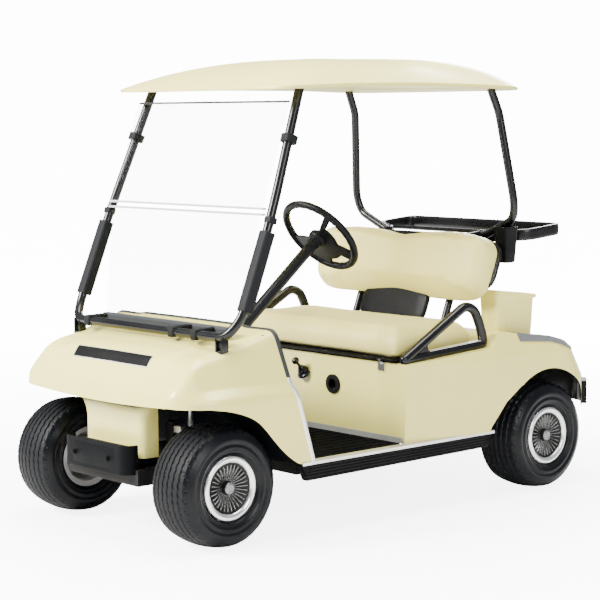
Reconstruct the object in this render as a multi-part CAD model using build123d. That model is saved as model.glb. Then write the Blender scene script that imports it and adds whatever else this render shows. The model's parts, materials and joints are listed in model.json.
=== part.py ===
from build123d import *
import math
import os

# Golf cart: two-seat electric cart with a moulded body, a canopy and a folding windshield.
# Millimetres. +X is the cart's left, -Y its front, +Z up. The origin is on the ground,
# midway between the two bumpers.

# ---- wheels and axles ----
WHEELBASE = 1664
FRONT_AXLE_Y = -907
REAR_AXLE_Y = FRONT_AXLE_Y + WHEELBASE
FRONT_TRACK = 876
REAR_TRACK = 978
TYRE_RADIUS = 224
TYRE_WIDTH = 216
RIM_RADIUS = 103
RIM_WIDTH = 176
FLANGE_RADIUS = 116
BARREL_RADIUS = 95
HUB_RADIUS = 32
HUBCAP_FACE = 98
HUBCAP_FINS = 30
SPINDLE_RADIUS = 12
SHAFT_CLEARANCE = 0.4
KINGPIN_X = 388
KINGPIN_RADIUS = 9
STEER_ARM_IN = 78
STEER_ARM_BACK = 90
ROD_GAP = 5

# ---- chassis frame ----
RAIL_X = 200
RAIL_WIDTH = 40
RAIL_HEIGHT = 60
RAIL_BOTTOM = 208
RAIL_REAR_BOTTOM = 345
RAIL_RISE_Y = 390
FLOOR_TOP = 280
FLOOR_THICKNESS = 12
FLOOR_HALF_WIDTH = 545
FLOOR_BOTTOM = FLOOR_TOP - FLOOR_THICKNESS

# ---- body ----
WALL = 5
SEAT_FRONT_Y = -35
SEAT_LEDGE_Z = 590
SEAT_LEDGE_REAR_Z = 618
DECK_FRONT_Y = 470
DECK_Z = 670
COWL_REAR_Y = -690
COWL_TOP_Z = 768
COWL_LIP_Z = 512
FRONT_ARCH_RADIUS = 254
REAR_ARCH_RADIUS = 282
PILLAR_HALF_WIDTH = 184
PILLAR_FRONT_Y = -1035
PILLAR_BACK_Y = -965
BUMPER_BACK_Y = -1085
BUMPER_FRONT_Y = -1140
TAIL_Y = 1125
REAR_BUMPER_Y = 1140

# ---- seat ----
CUSHION_HALF_WIDTH = 500
CUSHION_FRONT_Y = -60
CUSHION_REAR_Y = 425
CUSHION_BOTTOM_Z = 606
CUSHION_TOP_Z = 708
PAN_THICKNESS = 8
SEAT_HINGE_Y = -48
SEAT_HINGE_Z = 600
BACKREST_HALF_WIDTH = 505
POST_X = 266
TUBE_RADIUS = 16

# ---- canopy ----
ROOF_RIM_Z = 1645
ROOF_RIM_HEIGHT = 38
ROOF_HALF_WIDTH = 546
ROOF_FRONT_Y = -607
ROOF_REAR_Y = 684
LINER_Z = 1658
LINER_THICKNESS = 6
SHIELD_X = 441
WHEEL_CENTRE = (290, -245, 1091)
WHEEL_RIM_RADIUS = 161
GRIP_RADIUS = 14
COLUMN_RADIUS = 22
COLUMN_TILT = 39.4

os.makedirs("parts", exist_ok=True)
PLANE_Y = Plane(origin=(0, 0, 0), x_dir=(1, 0, 0), z_dir=(0, -1, 0))


def block(x_range, y_range, z_range):
    """A box between two planes each way."""
    size = [high - low for low, high in (x_range, y_range, z_range)]
    middle = [(high + low) / 2 for low, high in (x_range, y_range, z_range)]
    return Pos(*middle) * Box(*size)


def side_prism(outline, x_range):
    """An outline of (y, z) points carried across the cart."""
    face = Plane.YZ.offset(x_range[0]) * make_face(Polyline(*outline, close=True))
    return extrude(face, amount=x_range[1] - x_range[0], dir=(1, 0, 0))


def plan_prism(outline, z_range):
    """An outline of (x, y) points carried upwards."""
    face = Plane.XY.offset(z_range[0]) * make_face(Polyline(*outline, close=True))
    return extrude(face, amount=z_range[1] - z_range[0], dir=(0, 0, 1))


def strip(points, thickness):
    """The outline of a bent sheet: the points, then the same points moved inwards."""
    line = Polyline(*points)
    shifted = offset(line, amount=thickness, side=Side.LEFT, closed=True)
    return make_face(shifted)


def bent_sheet(points, thickness, x_range):
    """A sheet folded along a path of (y, z) points and as wide as the range."""
    face = Plane.YZ.offset(x_range[0]) * strip(points, thickness)
    return extrude(face, amount=x_range[1] - x_range[0], dir=(1, 0, 0))


def tube(points, radius, bend, closed=False):
    """A round bar along straight runs joined by arcs."""
    path = FilletPolyline(*points, radius=bend, close=closed)
    start = Plane(origin=path @ 0, z_dir=path % 0)
    return sweep(start * Circle(radius), path=path)


def rod(start, end, radius):
    """A straight round bar between two points."""
    axis = Vector(*end) - Vector(*start)
    return extrude(Plane(origin=start, z_dir=axis) * Circle(radius), amount=axis.length)


def disc_x(x_range, centre, radius):
    """A cylinder along X about a (y, z) centre."""
    face = Plane.YZ.offset(x_range[0]) * (Pos(*centre) * Circle(radius))
    return extrude(face, amount=x_range[1] - x_range[0], dir=(1, 0, 0))


def both_sides(solid):
    """The piece and its mirror image on the other side of the cart."""
    return [solid, mirror(solid, about=Plane.YZ)]


def half_outline(points):
    """A plan outline from the points of its left half, front to rear."""
    return points + [(-x, y) for x, y in reversed(points) if x > 0]


def stack(rows, outline_of, inset):
    """A solid through level plan outlines, one for each row of a table."""
    faces = []
    for row in rows:
        level = row[0]
        face = make_face(Polyline(*half_outline(outline_of(*row[1:])), close=True))
        if inset:
            face = offset(face, amount=-inset, kind=Kind.INTERSECTION)
        faces.append(Plane.XY.offset(level) * face)
    return loft(faces, ruled=True)


COLUMN_AXIS = Vector(0, math.sin(math.radians(90 - COLUMN_TILT)), math.cos(math.radians(90 - COLUMN_TILT)))


def along_column(distance):
    """The point on the steering axis this far below the wheel's centre."""
    return Vector(*WHEEL_CENTRE) - COLUMN_AXIS * distance


column_hole = rod(along_column(450), along_column(640), COLUMN_RADIUS + 4)
nodes = {}

# ---- frame: two rails that rise over the rear axle, and the members between them ----
rail_path = [
    (BUMPER_BACK_Y + 10, RAIL_BOTTOM),
    (RAIL_RISE_Y + 20, RAIL_BOTTOM),
    (RAIL_RISE_Y + 135, RAIL_REAR_BOTTOM),
    (1105, RAIL_REAR_BOTTOM),
    (1105, RAIL_REAR_BOTTOM + RAIL_HEIGHT),
    (RAIL_RISE_Y + 115, RAIL_REAR_BOTTOM + RAIL_HEIGHT),
    (RAIL_RISE_Y, RAIL_BOTTOM + RAIL_HEIGHT),
    (BUMPER_BACK_Y + 10, RAIL_BOTTOM + RAIL_HEIGHT),
]
RAIL_INSIDE = RAIL_X - RAIL_WIDTH / 2
RAIL_OUTSIDE = RAIL_X + RAIL_WIDTH / 2
OUTRIGGER_END = 520
frame = side_prism(rail_path, (RAIL_INSIDE, RAIL_OUTSIDE))
frame += side_prism(rail_path, (-RAIL_OUTSIDE, -RAIL_INSIDE))
for cross_y in (-1040, -560, -80, 340, 1060):
    low = RAIL_REAR_BOTTOM if cross_y > 500 else RAIL_BOTTOM
    frame += block((-RAIL_INSIDE, RAIL_INSIDE), (cross_y - 20, cross_y + 20), (low + 5, low + 55))
for arm_y in (-560, -80, 340):
    for arm in both_sides(block((RAIL_OUTSIDE, OUTRIGGER_END), (arm_y - 20, arm_y + 20), (228, FLOOR_BOTTOM))):
        frame += arm
frame += block((-160, 160), (BUMPER_BACK_Y, BUMPER_BACK_Y + 10), (RAIL_BOTTOM, 350))
frame += block((-RAIL_OUTSIDE, RAIL_OUTSIDE), (BUMPER_BACK_Y, BUMPER_BACK_Y + 10), (RAIL_BOTTOM, FLOOR_BOTTOM))
TOWER_TOP = 430
tower = block((RAIL_INSIDE, RAIL_OUTSIDE), (FRONT_AXLE_Y - 18, FRONT_AXLE_Y + 18), (RAIL_BOTTOM + RAIL_HEIGHT, TOWER_TOP))
for damper_tower in both_sides(tower):
    frame += damper_tower
nodes["frame"] = frame

# ---- front suspension: an arm each side, out to the kingpin's eye, with its damper ----
EYE_HALF_HEIGHT = 26
ARM_HALF_HEIGHT = 18
DAMPER_FOOT_X = 315
arm = block((RAIL_OUTSIDE, KINGPIN_X), (FRONT_AXLE_Y - 18, FRONT_AXLE_Y + 18),
            (TYRE_RADIUS - ARM_HALF_HEIGHT, TYRE_RADIUS + ARM_HALF_HEIGHT))
arm += Pos(KINGPIN_X, FRONT_AXLE_Y, TYRE_RADIUS) * Cylinder(20, 2 * EYE_HALF_HEIGHT)
arm -= Pos(KINGPIN_X, FRONT_AXLE_Y, TYRE_RADIUS) * Cylinder(KINGPIN_RADIUS + SHAFT_CLEARANCE, 80)
damper = rod((DAMPER_FOOT_X, FRONT_AXLE_Y, TYRE_RADIUS + ARM_HALF_HEIGHT + 8), (252, FRONT_AXLE_Y, 400), 17)
damper += block((DAMPER_FOOT_X - 14, DAMPER_FOOT_X + 14), (FRONT_AXLE_Y - 12, FRONT_AXLE_Y + 12),
                (TYRE_RADIUS + ARM_HALF_HEIGHT, TYRE_RADIUS + ARM_HALF_HEIGHT + 22))
damper += block((RAIL_OUTSIDE, 262), (FRONT_AXLE_Y - 12, FRONT_AXLE_Y + 12), (392, 416))
nodes["front_suspension"] = Compound(children=both_sides(arm + damper))

# ---- rear axle: one turned casing with a backing plate and a stub at each end ----
AXLE_END = REAR_TRACK / 2 - 30
AXLE_TUBE_RADIUS = 32
CASING_RADIUS = 95
axle_half = [  # distance from the middle, radius
    (40, CASING_RADIUS),
    (78, AXLE_TUBE_RADIUS),
    (AXLE_END - 12, AXLE_TUBE_RADIUS),
    (AXLE_END - 12, 80),
    (AXLE_END - 4, 80),
    (AXLE_END - 4, 20),
    (AXLE_END, 20),
    (AXLE_END, SPINDLE_RADIUS),
    (REAR_TRACK / 2 + 55, SPINDLE_RADIUS),
    (REAR_TRACK / 2 + 55, 0),
]
axle_outline = axle_half + [(-x, radius) for x, radius in reversed(axle_half)]
axle_face = make_face(Polyline(*axle_outline, close=True))
axle = Pos(0, REAR_AXLE_Y, TYRE_RADIUS) * revolve(axle_face, axis=Axis.X, revolution_arc=360)
GEAR_HALF = 60
axle += block((-GEAR_HALF, GEAR_HALF), (REAR_AXLE_Y - 220, REAR_AXLE_Y - 30), (165, 300))
nodes["rear_axle"] = axle

MOTOR_Y = REAR_AXLE_Y - 150
MOTOR_RADIUS = 78
nodes["drive_motor"] = disc_x((GEAR_HALF, RAIL_INSIDE - 5), (MOTOR_Y, 232), MOTOR_RADIUS)

# ---- rear springs: a bow of leaves under each rail's outer side, on the axle tube ----
SPRING_X = 290
SPRING_SEAT_Z = TYRE_RADIUS + 32
spring_line = [(480, 300), (620, 270), (REAR_AXLE_Y - 50, SPRING_SEAT_Z), (REAR_AXLE_Y + 50, SPRING_SEAT_Z),
               (900, 270), (1040, 300)]
spring = bent_sheet(spring_line, 14, (SPRING_X - 25, SPRING_X + 25))
for hanger_y in (492, 1028):
    spring += block((RAIL_OUTSIDE, SPRING_X + 25), (hanger_y - 12, hanger_y + 12), (304, 395))
nodes["rear_springs"] = Compound(children=both_sides(spring))

# ---- knuckles: a yoke round the kingpin's eye, a stub axle and a steering arm ----
YOKE_INNER = EYE_HALF_HEIGHT + 4
YOKE_OUTER = YOKE_INNER + 14
ARM_PLATE = 12
HUB_INNER_X = -14
PIN_RADIUS = 6
EYE_RADIUS = 13


def knuckle():
    """The left knuckle, with the pin that carries the tie rod."""
    yoke = block((KINGPIN_X - 22, KINGPIN_X + 34), (FRONT_AXLE_Y - 22, FRONT_AXLE_Y + 22),
                 (TYRE_RADIUS - YOKE_OUTER, TYRE_RADIUS + YOKE_OUTER))
    yoke -= block((KINGPIN_X - 23, KINGPIN_X + 24), (FRONT_AXLE_Y - 23, FRONT_AXLE_Y + 23),
                  (TYRE_RADIUS - YOKE_INNER, TYRE_RADIUS + YOKE_INNER))
    yoke += Pos(KINGPIN_X, FRONT_AXLE_Y, TYRE_RADIUS) * Cylinder(KINGPIN_RADIUS, 2 * YOKE_OUTER)
    stub = (KINGPIN_X + 30, FRONT_TRACK / 2 + 55)
    yoke += disc_x(stub, (FRONT_AXLE_Y, TYRE_RADIUS), SPINDLE_RADIUS)
    top = TYRE_RADIUS - YOKE_OUTER
    arm_outline = [
        (KINGPIN_X + 20, FRONT_AXLE_Y - 20),
        (KINGPIN_X + 20, FRONT_AXLE_Y + 20),
        (KINGPIN_X - STEER_ARM_IN + 14, FRONT_AXLE_Y + STEER_ARM_BACK + 8),
        (KINGPIN_X - STEER_ARM_IN - 12, FRONT_AXLE_Y + STEER_ARM_BACK + 8),
        (KINGPIN_X - STEER_ARM_IN - 12, FRONT_AXLE_Y + STEER_ARM_BACK - 16),
        (KINGPIN_X - 22, FRONT_AXLE_Y - 20),
    ]
    return yoke + plan_prism(arm_outline, (top - ARM_PLATE, top))


ARM_BOTTOM = TYRE_RADIUS - YOKE_OUTER - ARM_PLATE
ROD_TOP = ARM_BOTTOM - ROD_GAP
ROD_HEIGHT = 14
rod_pin = (KINGPIN_X - STEER_ARM_IN, FRONT_AXLE_Y + STEER_ARM_BACK)
pin = Pos(*rod_pin, ARM_BOTTOM - (ROD_GAP + ROD_HEIGHT) / 2) * Cylinder(PIN_RADIUS, ROD_GAP + ROD_HEIGHT)
nodes["knuckle_left"] = knuckle() + pin
nodes["knuckle_right"] = mirror(knuckle(), about=Plane.YZ)

# ---- tie rod: an eye on the left knuckle's pin and one under the right steering arm ----
tie_rod = block((-rod_pin[0], rod_pin[0]), (rod_pin[1] - 7, rod_pin[1] + 7), (ROD_TOP - ROD_HEIGHT, ROD_TOP))
for side in (1, -1):
    tie_rod += Pos(side * rod_pin[0], rod_pin[1], ROD_TOP - ROD_HEIGHT / 2) * Cylinder(EYE_RADIUS, ROD_HEIGHT)
tie_rod -= Pos(*rod_pin, ROD_TOP - ROD_HEIGHT / 2) * Cylinder(PIN_RADIUS + SHAFT_CLEARANCE, 2 * ROD_HEIGHT)
nodes["tie_rod"] = tie_rod

# ---- wheels: a tyre on a pressed rim, with a finned cap over the rim's face ----
HALF_TYRE = TYRE_WIDTH / 2
HALF_RIM = RIM_WIDTH / 2


def revolve_x(outline):
    """A ring turned about X from an outline of (x, radius) points."""
    face = make_face(Polyline(*outline, close=True))
    return revolve(face, axis=Axis.X, revolution_arc=360)


def tyre():
    """A tyre about the X axis: low crown, round shoulders, bulged side walls."""
    bead = HALF_RIM - 2
    bead_top = FLANGE_RADIUS + 2
    shoulder = (86, 213)
    bulge = (HALF_TYRE, 168)
    near = Line((-bead, RIM_RADIUS), (-bead, bead_top))
    left = ThreePointArc((-bead, bead_top), (-bulge[0], bulge[1]), (-shoulder[0], shoulder[1]))
    tread = ThreePointArc((-shoulder[0], shoulder[1]), (0, TYRE_RADIUS), shoulder)
    right = ThreePointArc(shoulder, bulge, (bead, bead_top))
    foot = Polyline((bead, bead_top), (bead, RIM_RADIUS), (-bead, RIM_RADIUS))
    return revolve(make_face([near, left, tread, right, foot]), axis=Axis.X, revolution_arc=360)


def rim():
    """The pressed rim, its hub and the cap with radial fins; the outer side is +X."""
    barrel = revolve_x([
        (-HALF_RIM, BARREL_RADIUS),
        (HALF_RIM, BARREL_RADIUS),
        (HALF_RIM + 6, FLANGE_RADIUS),
        (HALF_RIM, FLANGE_RADIUS),
        (HALF_RIM - 2, RIM_RADIUS),
        (2 - HALF_RIM, RIM_RADIUS),
        (-HALF_RIM, FLANGE_RADIUS),
        (-HALF_RIM - 6, FLANGE_RADIUS),
    ])
    bore = SPINDLE_RADIUS + SHAFT_CLEARANCE
    hub = revolve_x([(HUB_INNER_X, bore), (62, bore), (62, HUB_RADIUS), (HUB_INNER_X, HUB_RADIUS)])
    web = revolve_x([(34, HUB_RADIUS - 1), (40, HUB_RADIUS - 1), (40, BARREL_RADIUS + 1), (34, BARREL_RADIUS + 1)])
    cap_ring = revolve_x([(HALF_RIM, 104), (HALF_RIM, 117), (HUBCAP_FACE, 115), (HUBCAP_FACE + 3, 108),
                          (HUBCAP_FACE - 2, 101)])
    cap_disc = revolve_x([(HUBCAP_FACE - 14, 0), (HUBCAP_FACE - 14, 100), (HUBCAP_FACE - 10, 100),
                          (HUBCAP_FACE - 10, 30), (HUBCAP_FACE + 2, 28), (HUBCAP_FACE + 6, 18), (HUBCAP_FACE + 6, 0)])
    cap = cap_ring + cap_disc
    fin = block((HUBCAP_FACE - 11, HUBCAP_FACE - 2), (-1.6, 1.6), (27, 104))
    for index in range(HUBCAP_FINS):
        cap += Rot(X=index * 360 / HUBCAP_FINS) * fin
    return barrel + hub + web + cap


CORNERS = [  # name, side, axle y, half track
    ("front_left", 1, FRONT_AXLE_Y, FRONT_TRACK / 2),
    ("front_right", -1, FRONT_AXLE_Y, FRONT_TRACK / 2),
    ("rear_left", 1, REAR_AXLE_Y, REAR_TRACK / 2),
    ("rear_right", -1, REAR_AXLE_Y, REAR_TRACK / 2),
]
plain_tyre = tyre()
plain_rim = rim()
for name, side, axle_y, half_track in CORNERS:
    place = Pos(side * half_track, axle_y, TYRE_RADIUS) * Rot(Z=0 if side > 0 else 180)
    nodes[f"tyre_{name}"] = place * plain_tyre
    nodes[f"wheel_{name}"] = place * plain_rim

# ---- floor: a pan on the rails, the toe board over the wheel wells, a ribbed mat and the sills ----
FLOOR_FRONT_Y = -598
pan_front = block((-FLOOR_HALF_WIDTH, FLOOR_HALF_WIDTH), (FLOOR_FRONT_Y, SEAT_FRONT_Y - 2), (FLOOR_BOTTOM, FLOOR_TOP - 4))
battery_tray = block((-440, 440), (SEAT_FRONT_Y + 8, RAIL_RISE_Y - 2), (FLOOR_BOTTOM, FLOOR_TOP))
nodes["floor_pan"] = Compound(children=[pan_front, battery_tray])
mat = block((-520, 520), (FLOOR_FRONT_Y + 10, SEAT_FRONT_Y - 12), (FLOOR_TOP - 4, FLOOR_TOP))
for index in range(21):
    rib_x = -480 + 48 * index
    mat += block((rib_x - 6, rib_x + 6), (FLOOR_FRONT_Y + 25, SEAT_FRONT_Y - 27), (FLOOR_TOP, FLOOR_TOP + 2))
nodes["floor_mat"] = mat
sill_outline = [(-572, 211), (-601, 269), (-590, FLOOR_TOP), (440, FLOOR_TOP), (447, 272), (403, 218)]
sill = side_prism(sill_outline, (FLOOR_HALF_WIDTH, 572))
nodes["sills"] = Compound(children=both_sides(sill))

# ---- cowl: the hood over the front wheels, the legs behind them and the nose pillar ----
COWL_ROWS = [  # level, front, corner back, corner half width, crease half width, leg half width
    (260, -1112, 44, 486, 520, 572),
    (COWL_LIP_Z, -1112, 44, 486, 512, 566),
    (575, -1098, 44, 478, 500, 546),
    (645, -1050, 40, 462, 486, 520),
    (790, -1010, 36, 430, 456, 478),
]
cowl_side = [(-1125, 250), (-1125, 500), (-1098, 582), (-1047, 645), (-1017, 686), (-865, 722),
             (COWL_REAR_Y, COWL_TOP_Z), (-652, 764), (-628, 579), (-542, 290), (-542, 250)]


def cowl_outline(inset):
    """The plan outline of one level of the cowl, from its row."""
    def outline(front, corner_back, corner_x, crease_x, leg_x):
        points = [
            (240, front + inset),
            (corner_x - inset, front + corner_back + inset),
            (crease_x - inset, -941),
            (leg_x - inset, -540),
        ]
        return points
    return outline


def cowl_volume(inset):
    """The closed form of the cowl, or of its inside when inset by the wall."""
    faces = []
    for level, *row in COWL_ROWS:
        half = cowl_outline(inset)(*row)
        points = half + [(-x, y) for x, y in reversed(half)]
        radii = [120, 34 - inset, 0, 0]
        path = FilletPolyline(*points, radius=radii + radii[::-1], close=True)
        faces.append(Plane.XY.offset(level) * make_face(path))
    return loft(faces, ruled=True)


def inner_outline(outline, distance):
    """An outline moved inwards by a distance."""
    face = make_face(Polyline(*outline, close=True))
    return offset(face, amount=-distance, kind=Kind.INTERSECTION)


def side_solid(face, x_range):
    """A flat (y, z) face carried across the cart."""
    return extrude(Plane.YZ.offset(x_range[0]) * face, amount=x_range[1] - x_range[0], dir=(1, 0, 0))


cowl_outer = cowl_volume(0) & side_prism(cowl_side, (-600, 600))
inner_side = [(-1120, 200), (-1120, 500), (-1093, 580), (-1044, 640), (-1014, 681), (-864, 717),
              (COWL_REAR_Y, 763), (-600, 763), (-500, 579), (-500, 200)]
cowl_inner = cowl_volume(WALL) & side_prism(inner_side, (-600, 600))
front_arch = disc_x((-600, 600), (FRONT_AXLE_Y, TYRE_RADIUS), FRONT_ARCH_RADIUS)
lip_cut = block((-600, 600), (-1200, FRONT_AXLE_Y), (200, COWL_LIP_Z))
leg_foot_cut = block((-600, 600), (-620, -500), (200, FLOOR_TOP))
cowl = cowl_outer - cowl_inner - front_arch - lip_cut - leg_foot_cut - column_hole
pillar = block((-PILLAR_HALF_WIDTH, PILLAR_HALF_WIDTH), (PILLAR_FRONT_Y, PILLAR_BACK_Y), (300, 688))
pillar -= block((WALL - PILLAR_HALF_WIDTH, PILLAR_HALF_WIDTH - WALL), (PILLAR_FRONT_Y + WALL, PILLAR_BACK_Y + 5),
                (290, 700))
pillar &= cowl_volume(2) & side_prism(inner_side, (-600, 600))
nodes["cowl"] = cowl + pillar

# ---- toe board: from the floor over the wheel wells, up to the hood ----
TOE_TOP_Z = 706
toe_line = [(FLOOR_FRONT_Y, FLOOR_TOP - 4), (-662, 330), (-735, 426), (-832, 492), (-866, 610), (-866, TOE_TOP_Z)]
toe_board = bent_sheet(toe_line, WALL, (-580, 580)) & cowl_volume(WALL)
nodes["toe_board"] = toe_board

# ---- dash: the panel under the cowl's rear edge, with two open trays ----
DASH_Y = -672
TRAY_DEPTH = 130
dash_line = [(-700, 752), (DASH_Y, 744), (DASH_Y - 4, 600), (-705, 566), (-780, 560)]
dash = bent_sheet(dash_line, WALL, (-580, 580)) & cowl_volume(WALL)
for tray_range in ((-420, -120), (70, 235)):
    low, high = tray_range
    outer = block(tray_range, (DASH_Y - TRAY_DEPTH, DASH_Y), (608, 702))
    inner = block((low + 4, high - 4), (DASH_Y - TRAY_DEPTH + 4, DASH_Y + 20), (612, 698))
    dash = dash + outer - inner
dash -= column_hole
nodes["dash"] = dash

# ---- steering: the wheel, its column and the gear on the left rail ----
GEAR_TOP = 330
COLUMN_START = 60.3
column = rod(along_column(COLUMN_START), along_column(800), COLUMN_RADIUS) - toe_board
column = column.solids().sort_by(SortBy.VOLUME)[-1]
nodes["steering_column"] = column
gear = block((RAIL_INSIDE, RAIL_INSIDE + 62), (-868, -800), (RAIL_BOTTOM + RAIL_HEIGHT, GEAR_TOP))
gear += rod((212, -834, GEAR_TOP - 4), (280, -884, 590), 9)
nodes["steering_gear"] = gear

wheel_plane = Plane(origin=WHEEL_CENTRE, x_dir=(1, 0, 0), z_dir=COLUMN_AXIS)
grip = Torus(WHEEL_RIM_RADIUS, GRIP_RADIUS)
boss = Pos(0, 0, -38) * Cylinder(34, 44)
boss += Pos(0, 0, -60 + 8) * Cylinder(24, 16)
for spoke_angle in (90, 205, 335):
    spoke = plan_prism([(30, -20), (30, 20), (154, 30), (154, -30)], (-9, -1))
    spoke = Pos(0, 0, 0) * Rot(Z=spoke_angle) * spoke
    boss += spoke
boss += Pos(0, 0, -12) * Cylinder(36, 24)
nodes["steering_wheel"] = wheel_plane * (grip + boss)

# ---- pedals: a brake and an accelerator pad, each on its arm through the toe board ----
pedals = []
for pedal_x, pad_half in ((295, 42), (195, 30)):
    pad = side_prism([(-712, 448), (-650, 370), (-645, 374), (-707, 452)], (pedal_x - pad_half, pedal_x + pad_half))
    pedal = pad + rod((pedal_x, -678, 408), (pedal_x, -720, 372), 8)
    pedals.append((pedal - toe_board).solids().sort_by(SortBy.VOLUME)[-1])
nodes["pedals"] = Compound(children=pedals)

# ---- badge plate and the trim along the cowl's rear edge ----
badge = side_prism([(-1021, 689), (-1051, 648), (-1045, 640), (-1012, 683)], (-232, 232)) - cowl_outer
nodes["badge_plate"] = badge.solids().sort_by(SortBy.VOLUME)[-1]
TRIM = 4
edge_band = side_prism([(COWL_REAR_Y - 16, 764), (COWL_REAR_Y + 6, 790), (-626, 770), (-612, 579), (-530, FLOOR_TOP + 2),
                        (-556, FLOOR_TOP + 2), (-641, 579), (-655, 755)], (-600, 600))
grown_side = [(-1130, 250), (-1130, 504), (-1020, 692), (-866, 727), (COWL_REAR_Y - 2, COWL_TOP_Z + TRIM + 1),
              (-636, 764), (-623, 580), (-537, 290), (-537, 250)]
cowl_grown = cowl_volume(-TRIM) & side_prism(grown_side, (-600, 600))
cowl_trim = (cowl_grown & edge_band) - cowl_outer - cowl_inner - block((-560, 560), (-640, -500), (250, 700))
nodes["cowl_trim"] = cowl_trim - column_hole

# ---- bumpers ----
RIB_PITCH = 22
bumper_outline = [(-240 + 25, BUMPER_BACK_Y), (-216, -1112), (-184, BUMPER_FRONT_Y), (184, BUMPER_FRONT_Y),
                  (216, -1112), (240 - 25, BUMPER_BACK_Y)]
bumper = plan_prism(bumper_outline, (250, 360))
for index in range(4):
    groove_z = 262 + RIB_PITCH * index
    bumper -= block((-240, 240), (BUMPER_FRONT_Y - 1, BUMPER_FRONT_Y + 5), (groove_z, groove_z + 9))
nodes["front_bumper"] = bumper

# ---- rear body: the seat base, the side panels and the fenders in one moulding ----
BODY_ROWS = [  # level, front half width, middle half width, rear
    (240, 540, 588, 1136),
    (440, 548, 597, 1118),
    (575, 552, 599, 1036),
    (602, 549, 592, 1018),
    (700, 520, 548, 960),
]
body_top = [(430, SEAT_LEDGE_REAR_Z), (DECK_FRONT_Y - 6, DECK_Z), (560, DECK_Z - 2), (650, 652), (773, 636),
            (880, 606), (935, 582), (1060, 556)]
body_side = [(SEAT_FRONT_Y, FLOOR_TOP), (SEAT_FRONT_Y, SEAT_LEDGE_Z)] + body_top
body_side += [(1160, 540), (1160, 318), (700, 318), (700, FLOOR_TOP)]
body_inside = [(SEAT_FRONT_Y + WALL, 200), (SEAT_FRONT_Y + WALL, SEAT_LEDGE_Z - WALL)]
body_inside += [(y + 3, z - WALL) for y, z in body_top] + [(1200, 540), (1200, 200)]


def body_volume(inset):
    """The closed form of the rear body between its level plan outlines."""
    faces = []
    for level, front_x, middle_x, rear_y in BODY_ROWS:
        half = [
            (440, SEAT_FRONT_Y + inset),
            (front_x - inset, SEAT_FRONT_Y - 4 + inset),
            (front_x + 27 - inset, 150),
            (middle_x - inset, 420),
            (middle_x - inset, rear_y - 163 - inset * 0.4),
            (middle_x - 132 - inset * 0.4, rear_y - inset),
        ]
        radii = [0, 8 + min(0, -inset * 0.4), 0, 0, 110, 110]
        points = half + [(-x, y) for x, y in reversed(half)]
        path = FilletPolyline(*points, radius=radii + radii[::-1], close=True)
        faces.append(Plane.XY.offset(level) * make_face(path))
    return loft(faces, ruled=True)


BAGWELL_HALF = 372
BAGWELL_FRONT_Y = 600
BAGWELL_FLOOR_Z = 505
SEAT_WELL_HALF = CUSHION_HALF_WIDTH + 6
LEDGE_TOP = 589
body_outer = body_volume(0) & side_prism(body_side, (-620, 620))
body_inner = body_volume(WALL) & side_prism(body_inside, (-620, 620))
rear_body = body_outer - body_inner
well_outer = block((-SEAT_WELL_HALF - WALL, SEAT_WELL_HALF + WALL), (SEAT_FRONT_Y + 2, CUSHION_REAR_Y + 12), (584, 700))
well_inner = block((-SEAT_WELL_HALF, SEAT_WELL_HALF), (SEAT_FRONT_Y - 10, CUSHION_REAR_Y + 7), (LEDGE_TOP, 700))
hatch = block((-470, 470), (SEAT_FRONT_Y + 35, CUSHION_REAR_Y - 20), (560, 600))
rear_body = rear_body + (well_outer & body_outer) - well_inner - hatch
ARCH_FRONT = [(380, 240), (413, 301), (495, 393), (585, 452), (REAR_AXLE_Y, 452), (REAR_AXLE_Y, 240)]
rear_arch = disc_x((-640, 640), (REAR_AXLE_Y, TYRE_RADIUS), REAR_ARCH_RADIUS) + side_prism(ARCH_FRONT, (-640, 640))
rear_body -= rear_arch
rear_body -= block((-BAGWELL_HALF, BAGWELL_HALF), (BAGWELL_FRONT_Y, 1200), (512, 760))
CHARGE_X = 134
CHARGE_Z = 474
CHARGE_RADIUS = 30
rear_body -= rod((CHARGE_X, SEAT_FRONT_Y - 10, CHARGE_Z), (CHARGE_X, SEAT_FRONT_Y + 20, CHARGE_Z), CHARGE_RADIUS)
nodes["rear_body"] = rear_body.solids().sort_by(SortBy.VOLUME)[-1]

# ---- bagwell: the black liner between the fenders ----
liner = block((-BAGWELL_HALF, BAGWELL_HALF), (BAGWELL_FRONT_Y, 1068), (BAGWELL_FLOOR_Z - WALL, 700))
liner -= block((WALL - BAGWELL_HALF, BAGWELL_HALF - WALL), (BAGWELL_FRONT_Y + WALL, 1080), (BAGWELL_FLOOR_Z, 720))
liner &= side_prism(body_inside, (-620, 620))
nodes["bagwell_liner"] = liner

# ---- battery block, the charge socket and the selector ----
nodes["battery_block"] = block((-380, 380), (5, RAIL_RISE_Y - 5), (FLOOR_TOP, 555))
SOCKET_BORE = 22
SOCKET_DEPTH = 30
socket_front = SEAT_FRONT_Y - 8
socket = rod((CHARGE_X, socket_front, CHARGE_Z), (CHARGE_X, SEAT_FRONT_Y, CHARGE_Z), 39)
socket += rod((CHARGE_X, SEAT_FRONT_Y, CHARGE_Z), (CHARGE_X, SEAT_FRONT_Y + 28, CHARGE_Z), CHARGE_RADIUS)
socket -= rod((CHARGE_X, socket_front - 1, CHARGE_Z), (CHARGE_X, socket_front + SOCKET_DEPTH, CHARGE_Z), SOCKET_BORE)
nodes["charge_socket"] = socket
selector = block((-64, -12), (SEAT_FRONT_Y - 6, SEAT_FRONT_Y), (466, 566))
selector += rod((-38, SEAT_FRONT_Y - 6, 505), (-38, SEAT_FRONT_Y - 58, 556), 7)
selector += Pos(-38, SEAT_FRONT_Y - 58, 560) * Sphere(18)
nodes["selector"] = selector
nodes["base_trim"] = block((-530, 530), (SEAT_FRONT_Y - 4, SEAT_FRONT_Y), (FLOOR_TOP, 302))

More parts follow.
